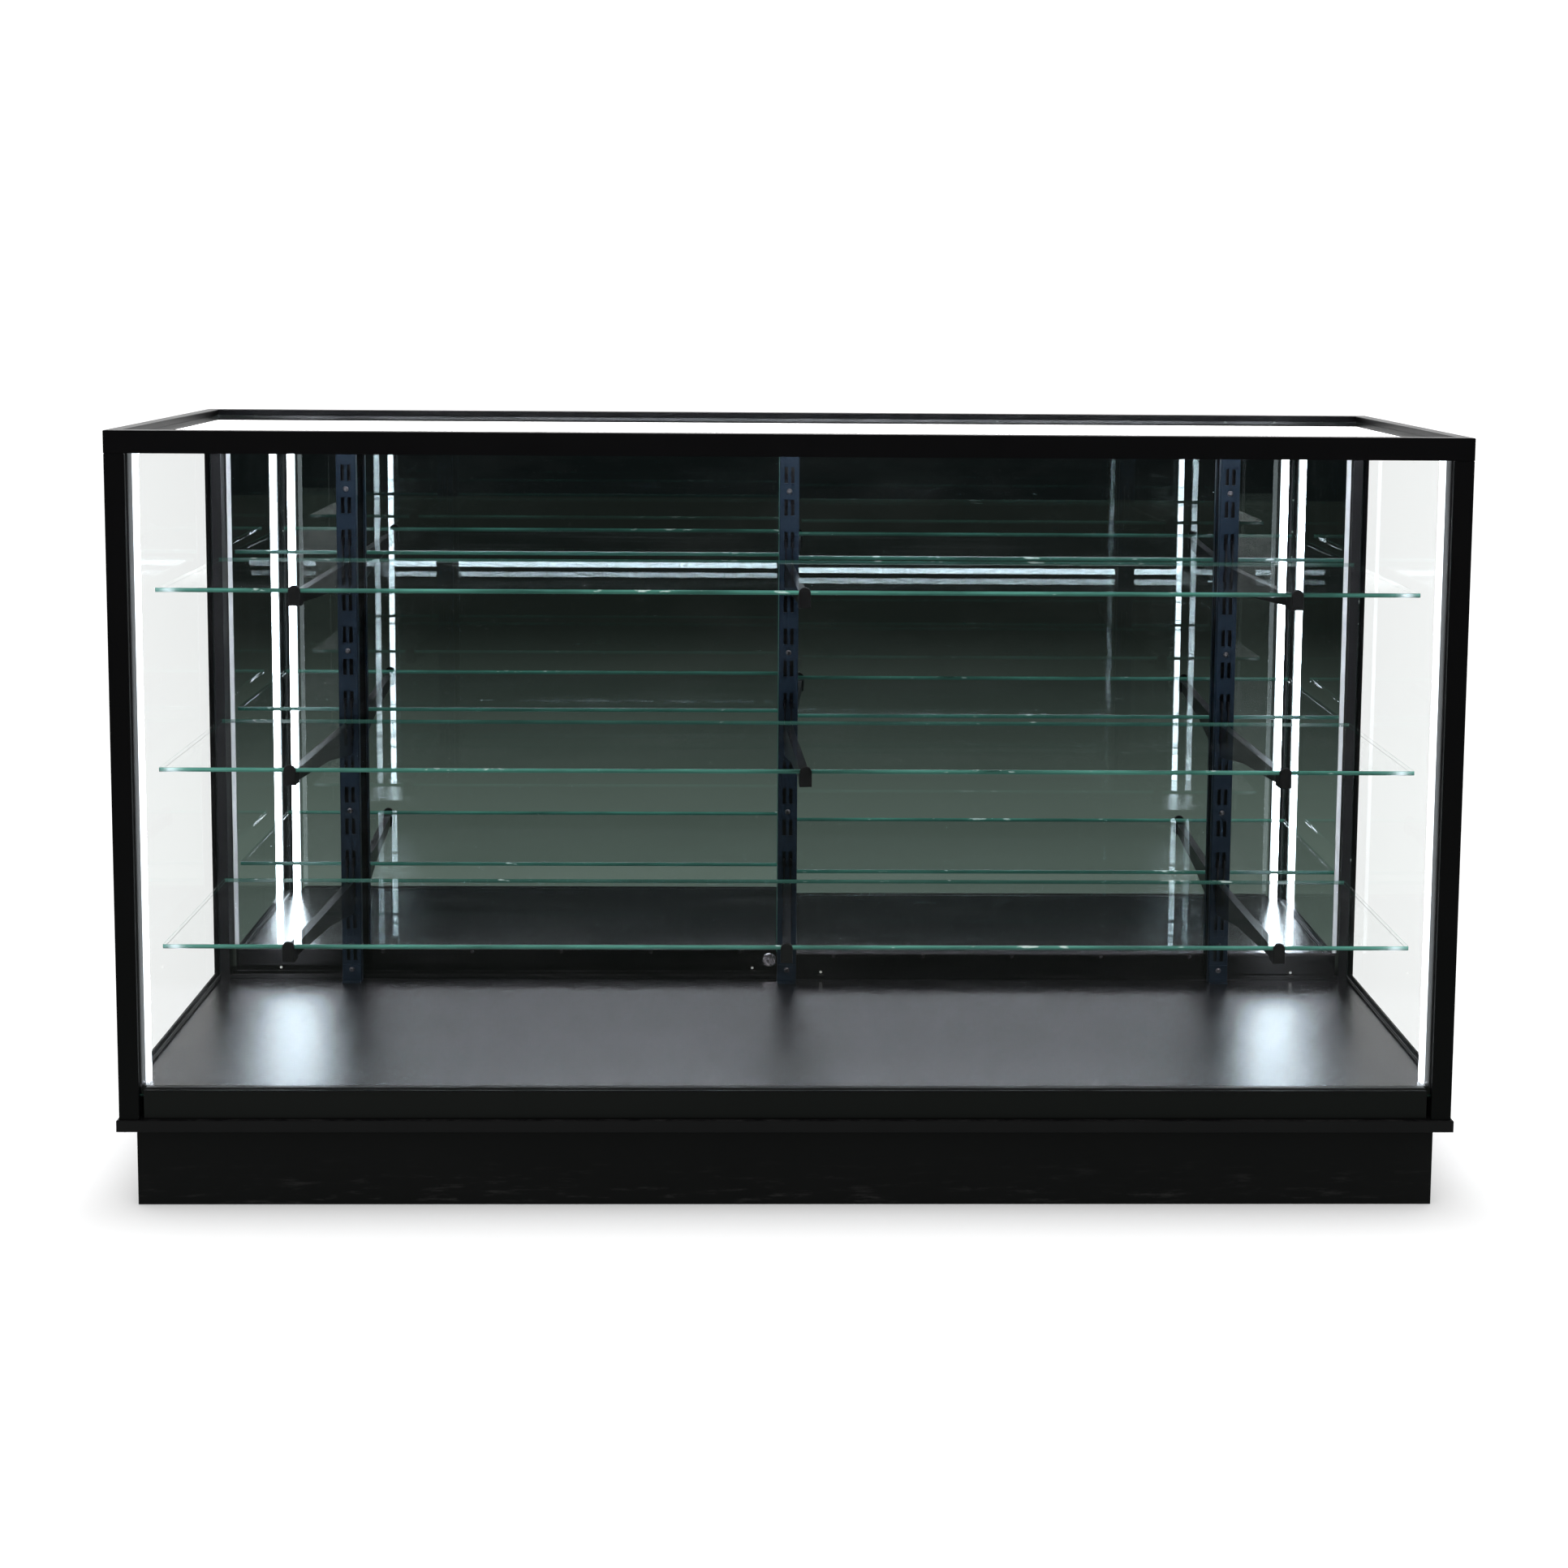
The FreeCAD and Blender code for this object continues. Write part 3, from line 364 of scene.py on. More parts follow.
def glass_edge(name, colour):
    """Polished edge with a painted glow: a green emission stands in for light gathered in the sheet, paler
    above, with painted glints.
    """
    material, tree = new_finish(name)
    drift = tree.noise(1.0, 4.0, 0.6, tree.stretched((5.0, 5.0, 60.0)))
    # painted glints: small bright spots, on the upper part of the edge only
    painted_glint = tree.noise(1.0, 3.0, 0.6, tree.stretched((26.0, 26.0, 90.0))).above(0.64, 0.70)
    # painted highlight: the glow grows towards the top of the edge
    upper = tree.node("ShaderNodeAttribute", {"attribute_name": "across"}, output="Fac").above(0.30, 0.60)
    # painted light: the glow is fainter on edges towards the back of the case
    near = 1.0 - tree.axis(tree.place(), 1).above(-0.05, 0.10)
    amount = drift.above(0.30, 0.70) * (0.25 + 0.75 * upper) * (0.35 + 0.65 * near)
    painted_glow_band = tree.tint(scaled(colour, 0.12), colour, amount)
    glow = tree.over(painted_glow_band, (0.70, 0.85, 0.82), painted_glint * upper * 0.8)
    shine = 0.10 + 0.22 * drift
    # the edge glows by emission: painted light in the sheet, not a lamp
    tree.surface(tree.principled(
        Base_Color=tree.tint(scaled(colour, 0.02), scaled(colour, 0.10), drift), Roughness=shine,
        Specular_IOR_Level=0.4, Emission_Color=glow, Emission_Strength=0.9,
        Normal=tree.bump(drift, 0.08, 0.0004)))
    return material


def silvering(name, colour):
    material, tree = new_finish(name)
    wipe = tree.noise(1.0, 5.0, 0.6, tree.stretched((5.0, 5.0, 13.0)))
    smear = wipe.above(0.52, 0.80)
    speck = tree.noise(280.0, 2.0, 0.5).above(0.72, 0.77)
    base = tree.tint(colour, scaled(colour, 0.94), wipe)
    base = tree.over(base, (0.50, 0.53, 0.52), speck * 0.35)
    base = tree.over(base, (0.62, 0.66, 0.65), smear * 0.10)
    tree.surface(tree.principled(Base_Color=base, Metallic=1.0, Roughness=0.0))
    return material


def backing_paint(name):
    material, tree = new_finish(name)
    brushed = tree.noise(1.0, 4.0, 0.6, tree.stretched((30.0, 30.0, 3.0)))
    grain = tree.noise(420.0, 3.0, 0.5)
    base = tree.tint((0.098, 0.103, 0.108), (0.114, 0.119, 0.124), brushed)
    tree.surface(tree.principled(
        Base_Color=base, Roughness=0.52 + 0.16 * brushed, Normal=tree.bump(grain, 0.12, 0.0003)))
    return material


def soft_rubber(name, value=0.0028, gloss=0.10):
    material, tree = new_finish(name)
    grain = tree.noise(900.0, 3.0, 0.6)
    bloom = tree.noise(55.0, 4.0, 0.6)
    base = tree.tint((value, value, value), (value * 2.1, value * 2.1, value * 2.2), bloom)
    base = tree.over(base, (0.16, 0.16, 0.155), dust_mask(tree, 0.03))
    tree.surface(tree.principled(
        Base_Color=base, Roughness=0.50 + 0.18 * bloom, Specular_IOR_Level=gloss,
        Normal=tree.bump(grain, 0.16, 0.0004)))
    return material


def moulded_plastic(name, colour, rough=0.42, glow=0.0):
    material, tree = new_finish(name)
    grain = tree.noise(680.0, 3.0, 0.5)
    cloud = tree.noise(18.0, 3.0)
    base = tree.tint(scaled(colour, 0.88), scaled(colour, 1.08), cloud)
    tree.surface(tree.principled(
        Base_Color=base, Roughness=rough - 0.05 + 0.12 * cloud, Subsurface_Weight=glow,
        Normal=tree.bump(grain, 0.10, 0.0003)))
    return material


def plated_metal(name, colour, rough, grain_scale=(40.0, 900.0, 900.0)):
    material, tree = new_finish(name)
    draw = tree.noise(1.0, 4.0, 0.6, tree.stretched(grain_scale))
    cloud = tree.noise(60.0, 3.0)
    base = tree.tint(scaled(colour, 0.86), colour, cloud)
    tree.surface(tree.principled(
        Base_Color=base, Metallic=1.0, Roughness=rough + 0.10 * draw + 0.06 * cloud,
        Normal=tree.bump(draw, 0.05, 0.0002)))
    return material


def softwood(name):
    material, tree = new_finish(name)
    grain = tree.node("ShaderNodeTexWave", {"bands_direction": "X"}, {
        "Vector": tree.stretched((1.0, 0.06, 1.0)), "Scale": 46.0, "Distortion": 5.0,
        "Detail": 3.0, "Detail Scale": 1.4}, "Fac")
    fibre = tree.noise(1.0, 4.0, 0.6, tree.stretched((400.0, 12.0, 400.0)))
    base = tree.tint((0.40, 0.27, 0.15), (0.60, 0.45, 0.28), grain * 0.6 + fibre * 0.4)
    tree.surface(tree.principled(
        Base_Color=base, Roughness=0.62 + 0.18 * fibre, Normal=tree.bump(fibre, 0.2, 0.0005)))
    return material


def lit_lens(name, colour, power, upright=1.0):
    """Opal plastic that glows, less so in the lengths below the one overhead; in the lenses it is the lamp,
    in the channel walls a painted glow.
    """
    material, tree = new_finish(name)
    drift = tree.noise(90.0, 2.0, 0.5)
    overhead = tree.axis(tree.place(), 2).above(UPRIGHT_TOP, OVERHEAD_FOOT)
    glow = tree.tint(scaled(colour, upright), colour, overhead * (0.93 + 0.07 * drift))
    tree.surface(tree.principled(
        Base_Color=glow, Roughness=0.35 + 0.1 * drift, Emission_Color=glow, Emission_Strength=power))
    return material


FINISHES = {}


def finish(key):
    """The finish of that name, made on first use."""
    if key not in FINISHES:
        look = finish_of()
        makers = {
            "frame": (powder_coat, "frame_powder_coat", look.frame_colour),
            "fascia": (powder_coat, "fascia_powder_coat", look.frame_colour, 0.36, 0.10, 0.35),
            "track": (
                powder_coat, "track_black_anodised", scaled(look.frame_colour, 0.4), 0.20, 0.02, 0.2),
            "rear_frame": (powder_coat, "rear_frame_powder_coat", look.frame_colour, 0.40, 0.05, 0.12),
            "bracket": (powder_coat, "bracket_satin_black", look.frame_colour, 0.32, 0.02, 0.10),
            "slate": (powder_coat, "standard_slate_paint", look.slate_colour, 0.42, 0.03, 0.04),
            "laminate": (board_laminate, "plinth_laminate", look.laminate_colour),
            "ledge": (board_laminate, "ledge_laminate", scaled(look.laminate_colour, 1.5), 0.38),
            "deck": (deck_laminate, "deck_laminate", look.deck_colour),
            "pane": (pane_glass, "pane_glass"),
            "outer_pane": (pane_glass, "pane_glass_outside", 0.004, 0.02),
            "shelf": (pane_glass, "shelf_glass", 0.012),
            # both edge finishes glow with painted light; on edges set in the frame it is dimmed almost to
            # nothing
            "edge": (glass_edge, "polished_glass_edge", look.edge_colour),
            "set_edge": (glass_edge, "glazed_in_glass_edge", scaled(look.edge_colour, 0.05)),
            "silver": (silvering, "mirror_silvering", look.silver_colour),
            "backing": (backing_paint, "mirror_backing_paint"),
            "rubber": (soft_rubber, "cap_rubber"),
            "gasket": (soft_rubber, "glazing_vinyl", 0.012, 0.3),
            "seal": (moulded_plastic, "edge_seal_vinyl", (0.42, 0.44, 0.45), 0.40),
            "nylon": (moulded_plastic, "roller_nylon", (0.66, 0.65, 0.60), 0.36, 0.05),
            "pull": (moulded_plastic, "pull_black_plastic", (0.016, 0.016, 0.017), 0.40),
            "cable": (moulded_plastic, "cable_vinyl", (0.014, 0.014, 0.014), 0.45),
            "driver": (moulded_plastic, "driver_case", (0.55, 0.55, 0.54), 0.45),
            "chrome": (plated_metal, "lock_chrome", (0.78, 0.79, 0.80), 0.08),
            "zinc": (plated_metal, "screw_zinc", (0.08, 0.08, 0.082), 0.30),
            "dark_zinc": (plated_metal, "screw_black_zinc", (0.035, 0.035, 0.036), 0.30),
            "mill": (plated_metal, "key_mill_aluminium", (0.62, 0.62, 0.63), 0.34),
            # the channel walls glow by a set emission: painted light of the LEDs shining through the opal
            # housing, no lamp of their own
            "opal": (lit_lens, "light_opal_wall", (0.84, 0.89, 0.93), 1.5),
            "lens": (lit_lens, "lit_opal_lens", look.light_colour, look.light_power, look.upright_share),
            "wood": (softwood, "batten_softwood"),
        }
        maker, *values = makers[key]
        FINISHES[key] = maker(*values)
    return FINISHES[key]


def dress(key, *names):
    """Gives CAD nodes that stay as they are their finish."""
    for name in names:
        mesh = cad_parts[name].data
        mesh.materials.clear()
        mesh.materials.append(finish(key))


# meshes

def add_piece(name, mesh, body, slot, *replaced):
    piece = bpy.data.objects.new(name, mesh)
    bpy.context.scene.collection.objects.link(piece)
    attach(piece, body)
    if replaced:
        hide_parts(*replaced)
    return piece


def box_mesh(low, high):
    """A mesh of a box, still open for edits."""
    made = bmesh.new()
    bmesh.ops.create_cube(made, size=1.0)
    size = [b - a for a, b in zip(low, high)]
    middle = [(a + b) / 2 for a, b in zip(low, high)]
    fitted = Matrix.Translation(middle) @ Matrix.Diagonal((*size, 1.0))
    bmesh.ops.transform(made, matrix=fitted, verts=made.verts)
    return made


def close_mesh(made, name):
    bmesh.ops.recalc_face_normals(made, faces=made.faces)
    mesh = bpy.data.meshes.new(name)
    made.to_mesh(mesh)
    made.free()
    return mesh


def ground_sheet(name, node, arris, front, edge, back=None, ends=None):
    """A sheet of glass with ground corners, whose faces, edge and ends have finishes of their own."""
    low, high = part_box(node)
    size = [b - a for a, b in zip(low, high)]
    thin = size.index(min(size))
    made = box_mesh(low, high)
    bmesh.ops.bevel(made, geom=made.edges[:], offset=arris, segments=2, profile=0.6, affect="EDGES")
    bmesh.ops.recalc_face_normals(made, faces=made.faces)
    for face in made.faces:
        lean = face.normal[thin]
        if lean < -0.99:
            face.material_index = FRONT
        elif lean > 0.99:
            face.material_index = BACK
        elif abs(face.normal[0]) > 0.7:
            face.material_index = END
        else:
            face.material_index = EDGE
    mesh = close_mesh(made, name)
    across = mesh.attributes.new("across", "FLOAT", "POINT")
    for item, vertex in zip(across.data, mesh.vertices):
        item.value = (vertex.co[thin] - low[thin]) / size[thin]
    for key in (front, edge, back or front, ends or edge):
        mesh.materials.append(finish(key))
    return mesh


# geometry nodes

class NodeMesh:
    """A Geometry Nodes tree with named inputs, run once on a mesh of points."""

    def __init__(self, name, inputs):
        self.tree = bpy.data.node_groups.new(name, "GeometryNodeTree")
        face = self.tree.interface
        face.new_socket("Points", in_out="INPUT", socket_type="NodeSocketGeometry")
        for label, (kind, value) in inputs.items():
            socket = face.new_socket(label, in_out="INPUT", socket_type=kind)
            if value is not None:
                socket.default_value = value
        face.new_socket("Mesh", in_out="OUTPUT", socket_type="NodeSocketGeometry")
        self.start = self.tree.nodes.new("NodeGroupInput")
        self.end = self.tree.nodes.new("NodeGroupOutput")

    def given(self, label):
        return self.start.outputs[label]

    def node(self, kind, settings=None, sockets=None, output=0):
        made = self.tree.nodes.new(kind)
        for key, value in (settings or {}).items():
            setattr(made, key, value)
        for key, value in (sockets or {}).items():
            target = made.inputs[key]
            if isinstance(value, bpy.types.NodeSocket):
                self.tree.links.new(value, target)
            else:
                target.default_value = value
        return made.outputs[output] if made.outputs else None

    def maths(self, operation, first, second):
        return self.node("ShaderNodeMath", {"operation": operation}, {0: first, 1: second})

    def end_with(self, geometry):
        real = self.node("GeometryNodeRealizeInstances", None, {0: geometry})
        painted = self.node("GeometryNodeSetMaterial", None, {
            "Geometry": real, "Material": self.given("Finish")})
        self.tree.links.new(painted, self.end.inputs[0])
        return self.tree

    def identifier(self, label):
        for item in self.tree.interface.items_tree:
            if item.name == label and item.in_out == "INPUT":
                return item.identifier
        raise KeyError(label)


def points_mesh(name, spots):
    """Vertices at the spots, with the way each one faces in an attribute."""
    mesh = bpy.data.meshes.new(name)
    mesh.from_pydata([place for place, way in spots], [], [])
    ways = mesh.attributes.new("facing", "FLOAT_VECTOR", "POINT")
    for item, (place, way) in zip(ways.data, spots):
        item.vector = way
    return mesh


def grown(name, maker, spots, values):
    """Runs a tree on the spots and returns the finished plain mesh."""
    seeds = bpy.data.objects.new(name + "_seeds", points_mesh(name + "_seeds", spots))
    bpy.context.scene.collection.objects.link(seeds)
    modifier = seeds.modifiers.new("grow", "NODES")
    modifier.node_group = maker.tree
    for label, value in values.items():
        modifier[maker.identifier(label)] = value
    graph = bpy.context.evaluated_depsgraph_get()
    mesh = bpy.data.meshes.new_from_object(seeds.evaluated_get(graph), depsgraph=graph)
    mesh.name = name
    seeds.modifiers.remove(modifier)
    bpy.data.objects.remove(seeds)
    return mesh


def turned_to_facing(maker, axis="Z", pivot="AUTO"):
    """The turn that points an axis of the model the way its spot faces."""
    way = maker.node("GeometryNodeInputNamedAttribute", {"data_type": "FLOAT_VECTOR"}, {"Name": "facing"})
    settings = {"axis": axis, "pivot_axis": pivot}
    return maker.node("FunctionNodeAlignRotationToVector", settings, {"Vector": way})


def screw_tree():
    """A cross-recess screw head on every point, turned to face outward."""
    maker = NodeMesh("screw_heads", {
        "Radius": ("NodeSocketFloat", 0.003),
        "Height": ("NodeSocketFloat", 0.001),
        "Finish": ("NodeSocketMaterial", None),
    })
    radius = maker.given("Radius")
    height = maker.given("Height")

    def part_of(size, share):
        return maker.maths("MULTIPLY", size, share)

    def cone(foot, top, depth):
        sockets = {"Vertices": 24, "Radius Top": top, "Radius Bottom": foot, "Depth": depth}
        return maker.node("GeometryNodeMeshCone", {"fill_type": "NGON"}, sockets)

    shoulder = 0.93
    skirt_share = 0.55
    skirt = cone(radius, part_of(radius, shoulder), part_of(height, skirt_share))
    crown = cone(part_of(radius, shoulder), part_of(radius, 0.58), part_of(height, 1.0 - skirt_share))
    lift = maker.node("ShaderNodeCombineXYZ", None, {"Z": part_of(height, skirt_share)})
    raised = maker.node("GeometryNodeTransform", None, {"Geometry": crown, "Translation": lift})
    joined = {"operation": "UNION", "solver": "EXACT"}
    head = maker.node("GeometryNodeMeshBoolean", joined, {"Mesh 2": skirt})
    maker.tree.links.new(raised, head.node.inputs["Mesh 2"])

    arm = part_of(radius, 1.05)
    slit = part_of(radius, 0.24)
    depth = part_of(height, 1.1)
    first = maker.node("ShaderNodeCombineXYZ", None, {"X": arm, "Y": slit, "Z": depth})
    second = maker.node("ShaderNodeCombineXYZ", None, {"X": slit, "Y": arm, "Z": depth})
    recessed = {"operation": "DIFFERENCE", "solver": "EXACT"}
    cut = maker.node("GeometryNodeMeshBoolean", recessed, {"Mesh 1": head})
    rise = maker.node("ShaderNodeCombineXYZ", None, {"Z": height})
    for size in (first, second):
        bar = maker.node("GeometryNodeMeshCube", None, {"Size": size})
        bar = maker.node("GeometryNodeTransform", None, {"Geometry": bar, "Translation": rise})
        maker.tree.links.new(bar, cut.node.inputs["Mesh 2"])
    heads = maker.node("GeometryNodeInstanceOnPoints", None, {
        "Points": maker.given("Points"), "Instance": cut, "Rotation": turned_to_facing(maker)})
    maker.end_with(heads)
    return maker


def repeat_tree():
    """A copy of one model on every point."""
    maker = NodeMesh("repeat_on_points", {
        "Model": ("NodeSocketObject", None),
        "Size": ("NodeSocketFloat", 1.0),
        "Finish": ("NodeSocketMaterial", None),
    })
    model = maker.node("GeometryNodeObjectInfo", None, {"Object": maker.given("Model")}, "Geometry")
    copies = maker.node("GeometryNodeInstanceOnPoints", None, {
        "Points": maker.given("Points"), "Instance": model, "Scale": maker.given("Size"),
        "Rotation": turned_to_facing(maker, "Y", "Z")})
    maker.end_with(copies)
    return maker


# operators

class CounterOperator:
    bl_options = {"REGISTER", "UNDO"}

    def execute(self, context):
        self.make(context)
        return {"FINISHED"}


class COUNTER_OT_frame(CounterOperator, bpy.types.Operator):
    """Finish posts, rails and tracks"""
    bl_idname = "counter.frame"
    bl_label = "Frame"

    def make(self, context):
        dress("frame", "front_left_post", "front_right_post")
        dress("rear_frame", "rear_left_post", "rear_right_post")
        dress("frame", "top_front_rail", "top_rear_rail", "top_left_rail", "top_right_rail")
        dress("frame", "left_bottom_rail", "right_bottom_rail", "rear_bottom_rail")
        dress("fascia", "front_bottom_rail")
        dress("track", "door_track_top", "door_track_bottom")
        dress("mill", "top_corner_keys")
        dress("gasket", "glazing_strips")


class COUNTER_OT_base(CounterOperator, bpy.types.Operator):
    """Finish plinth, ledge and deck"""
    bl_idname = "counter.base"
    bl_label = "Base"

    def make(self, context):
        dress("laminate", "plinth_front", "plinth_rear", "plinth_ends")
        dress("ledge", "base_board")
        dress("deck", "deck_panel")
        dress("wood", "plinth_cross_rails", "deck_battens")


class COUNTER_OT_panes(CounterOperator, bpy.types.Operator):
    """Make the front, side and top panes"""
    bl_idname = "counter.panes"
    bl_label = "Panes"

    def make(self, context):
        arris = finish_of().pane_arris
        for node in ("front_glass", "left_glass", "right_glass", "top_glass"):
            faces = ["outer_pane", "pane"]
            if node in ("right_glass", "top_glass"):
                faces.reverse()
            mesh = ground_sheet(node + "_sheet", node, arris, faces[0], "set_edge", faces[1])
            add_piece(node + "_sheet", mesh, "case", "clear_glass", node)


class COUNTER_OT_shelves(CounterOperator, bpy.types.Operator):
    """Make the three glass shelves"""
    bl_idname = "counter.shelves"
    bl_label = "Shelves"

    def make(self, context):
        arris = finish_of().pane_arris
        for node in SHELVES:
            mesh = ground_sheet(node + "_sheet", node, arris, "shelf", "edge", ends="shelf")
            add_piece(node + "_sheet", mesh, "case", "clear_glass", node)


class COUNTER_OT_doors(CounterOperator, bpy.types.Operator):
    """Make the mirrors and finish the doors' fittings"""
    bl_idname = "counter.doors"
    bl_label = "Doors"

    def make(self, context):
        arris = finish_of().pane_arris
        for side in DOORS:
            node = side + "_door_mirror"
            mesh = ground_sheet(node + "_sheet", node, arris, "silver", "edge", "backing")
            add_piece(node + "_sheet", mesh, side + "_door", "mirror_silver", node)
            dress("track", side + "_door_bottom_rail")
            dress("nylon", side + "_door_top_glides", side + "_roller_outer", side + "_roller_inner")
            dress("seal", side + "_door_edge_seal")
            dress("pull", side + "_door_pull")


class COUNTER_OT_lock(CounterOperator, bpy.types.Operator):
    """Finish the push lock"""
    bl_idname = "counter.lock"
    bl_label = "Lock"

    def make(self, context):
        dress("chrome", "lock_body", "lock_plunger", "lock_plug")


class COUNTER_OT_standards(CounterOperator, bpy.types.Operator):
    """Finish standards and bracket arms"""
    bl_idname = "counter.standards"
    bl_label = "Standards"

    def make(self, context):
        dress("slate", *STANDARDS)
        dress("slate", "standard_feet")
        dress("bracket", "standard_back_bars", "shelf_brackets")


def cap_model(bevel):
    """One rubber cap at the origin: an arched lip with the sleeve for the arm behind it."""
    half = 8.5 * MM
    lip = 4.0 * MM
    drop = 24.0 * MM
    spring = 5.0 * MM - half
    sleeve_end = 21.2 * MM
    sleeve_top = -6.0 * MM
    made = bmesh.new()
    steps = 14
    ring = [(half, -drop), (half, spring)]
    for i in range(1, steps):
        angle = math.pi * i / steps
        ring.append((half * math.cos(angle), spring + half * math.sin(angle)))
    ring += [(-half, spring), (-half, -drop)]
    face = made.faces.new([made.verts.new((x, 0.0, z)) for x, z in ring])
    grown_face = bmesh.ops.extrude_face_region(made, geom=[face])
    moved = [v for v in grown_face["geom"] if isinstance(v, bmesh.types.BMVert)]
    bmesh.ops.translate(made, vec=(0, lip, 0), verts=moved)
    bmesh.ops.recalc_face_normals(made, faces=made.faces)
    front = [e for e in made.edges if all(v.co.y < 0.1 * MM for v in e.verts)]
    bmesh.ops.bevel(made, geom=front, offset=bevel, segments=3, profile=0.5, affect="EDGES")
    sleeve = box_mesh((-half, lip, -drop), (half, sleeve_end, sleeve_top))
    mesh = bpy.data.meshes.new("sleeve")
    sleeve.to_mesh(mesh)
    sleeve.free()
    made.from_mesh(mesh)
    bpy.data.meshes.remove(mesh)
    return close_mesh(made, "bracket_cap_model")


class COUNTER_OT_caps(CounterOperator, bpy.types.Operator):
    """Make the rubber caps on the bracket arms"""
    bl_idname = "counter.caps"
    bl_label = "Bracket caps"

    def make(self, context):
        model = bpy.data.objects.new("bracket_cap_model", cap_model(hardware_of().cap_bevel))
        context.scene.collection.objects.link(model)
        spots = []
        for shelf, leans in zip(SHELVES, ARM_LEAN):
            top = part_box(shelf)[1][2]
            for standard, lean in zip(STANDARDS, leans):
                low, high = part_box(standard)
                angle = math.asin(lean * MM / ARM_REACH)
                back = Vector((-math.sin(angle), math.cos(angle), 0.0))
                slot = Vector(((low[0] + high[0]) / 2, low[1] + 1 * MM, top))
                spots.append((slot - back * ARM_REACH, back))
        values = {"Model": model, "Size": 1.0, "Finish": finish("rubber")}
        mesh = grown("bracket_rubber_caps", repeat_tree(), spots, values)
        bpy.data.objects.remove(model)
        add_piece("bracket_rubber_caps", mesh, "case", "rubber_black", "bracket_caps")


def spread(first, last, count):
    """Places at equal steps from the first to the last."""
    return [first + (last - first) * i / (count - 1) for i in range(count)]


class COUNTER_OT_screws(CounterOperator, bpy.types.Operator):
    """Make the screw heads"""
    bl_idname = "counter.screws"
    bl_label = "Screws"

    def make(self, context):
        sizes = hardware_of()
        tree = screw_tree()
        pan = {"Radius": sizes.pan_radius, "Height": sizes.pan_height, "Finish": finish("zinc")}
        trim = {"Radius": sizes.trim_radius, "Height": sizes.trim_height, "Finish": finish("dark_zinc")}
        forward = (0.0, -1.0, 0.0)
        rearward = (0.0, 1.0, 0.0)
        down = (0.0, 0.0, -1.0)

        web = []
        for standard in STANDARDS:
            low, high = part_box(standard)
            x = (low[0] + high[0]) / 2
            for z in WEB_SCREWS:
                web.append(((x, low[1], z), forward))
            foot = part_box("standard_feet")
            web.append(((x, low[1] - 2 * MM, foot[0][2] + 20 * MM), forward))
        mesh = grown("standard_screw_heads", tree, web, pan)
        add_piece("standard_screw_heads", mesh, "case", "screw_zinc", "standard_screws")

        low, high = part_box("base_board")
        below = []
        for x in (low[0] + 10 * MM, high[0] - 10 * MM):
            for y in (low[1] + 7.6 * MM, high[1] - 7.6 * MM):
                below.append(((x, y, low[2]), down))
        mesh = grown("ledge_screw_heads", tree, below, pan)
        add_piece("ledge_screw_heads", mesh, "case", "screw_zinc", "frame_screws")

        rear = []
        low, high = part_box("rear_bottom_rail")
        for x in spread(low[0] + 0.06, high[0] - 0.06, 7):
            rear.append(((x, high[1], low[2] + 20 * MM), rearward))
        low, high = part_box("plinth_rear")
        for x in spread(low[0] + 8 * MM, high[0] - 8 * MM, 2) + [-0.3, 0.3]:
            for z in (0.03, 0.08):
                rear.append(((x, high[1], z), rearward))
        low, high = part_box("top_rear_rail")
        for x in spread(low[0] + 0.05, high[0] - 0.05, 5):
            rear.append(((x, high[1], low[2] + 8 * MM), rearward))
        mesh = grown("rear_screw_heads", tree, rear, trim)
        add_piece("rear_screw_heads", mesh, "case", "screw_zinc")

        for side in DOORS:
            low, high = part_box(side + "_door_bottom_rail")
            row = spread(low[0] + 0.09, high[0] - 0.09, 6)
            spots = [((x, low[1], high[2] - 5 * MM), forward) for x in row]
            mesh = grown(side + "_door_screw_heads", tree, spots, trim)
            add_piece(side + "_door_screw_heads", mesh, side + "_door", "screw_zinc")


class COUNTER_OT_lights(CounterOperator, bpy.types.Operator):
    """Finish the lights, their leads and the cord's grommet"""
    bl_idname = "counter.lights"
    bl_label = "Lights"

    def make(self, context):
        # the channels' glow is painted light
        dress("opal", "led_channels")
        dress("lens", "led_lenses")
        dress("cable", "led_wiring")
        dress("driver", "led_driver")
        self.grommet()

    def grommet(self):
        """A ring of rubber in the cord's bore, turned from its outline: radius and place along the bore."""
        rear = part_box("rear_bottom_rail")[1][1]
        centre = Vector((CORD_X, rear, CORD_Z))
        neck = [(5.9, -2.6), (4.4, -2.0), (4.4, 0.9), (5.0, 1.7)]
        flange = [(7.6, 1.8), (9.2, 1.2), (9.6, 0.0), (5.9, 0.0)]
        profile = [(r * MM, y * MM) for r, y in neck + flange]
        steps = 32
        made = bmesh.new()
        rings = []
        for i in range(steps):
            angle = 2 * math.pi * i / steps
            out = Vector((math.cos(angle), 0.0, math.sin(angle)))
            spots = [centre + out * r + Vector((0.0, y, 0.0)) for r, y in profile]
            rings.append([made.verts.new(spot) for spot in spots])
        for i, ring in enumerate(rings):
            after = rings[(i + 1) % steps]
            for j in range(len(profile)):
                k = (j + 1) % len(profile)
                made.faces.new((ring[j], ring[k], after[k], after[j]))
        mesh = close_mesh(made, "cord_grommet")
        mesh.materials.append(finish("rubber"))
        add_piece("cord_grommet", mesh, "case", "rubber_black")


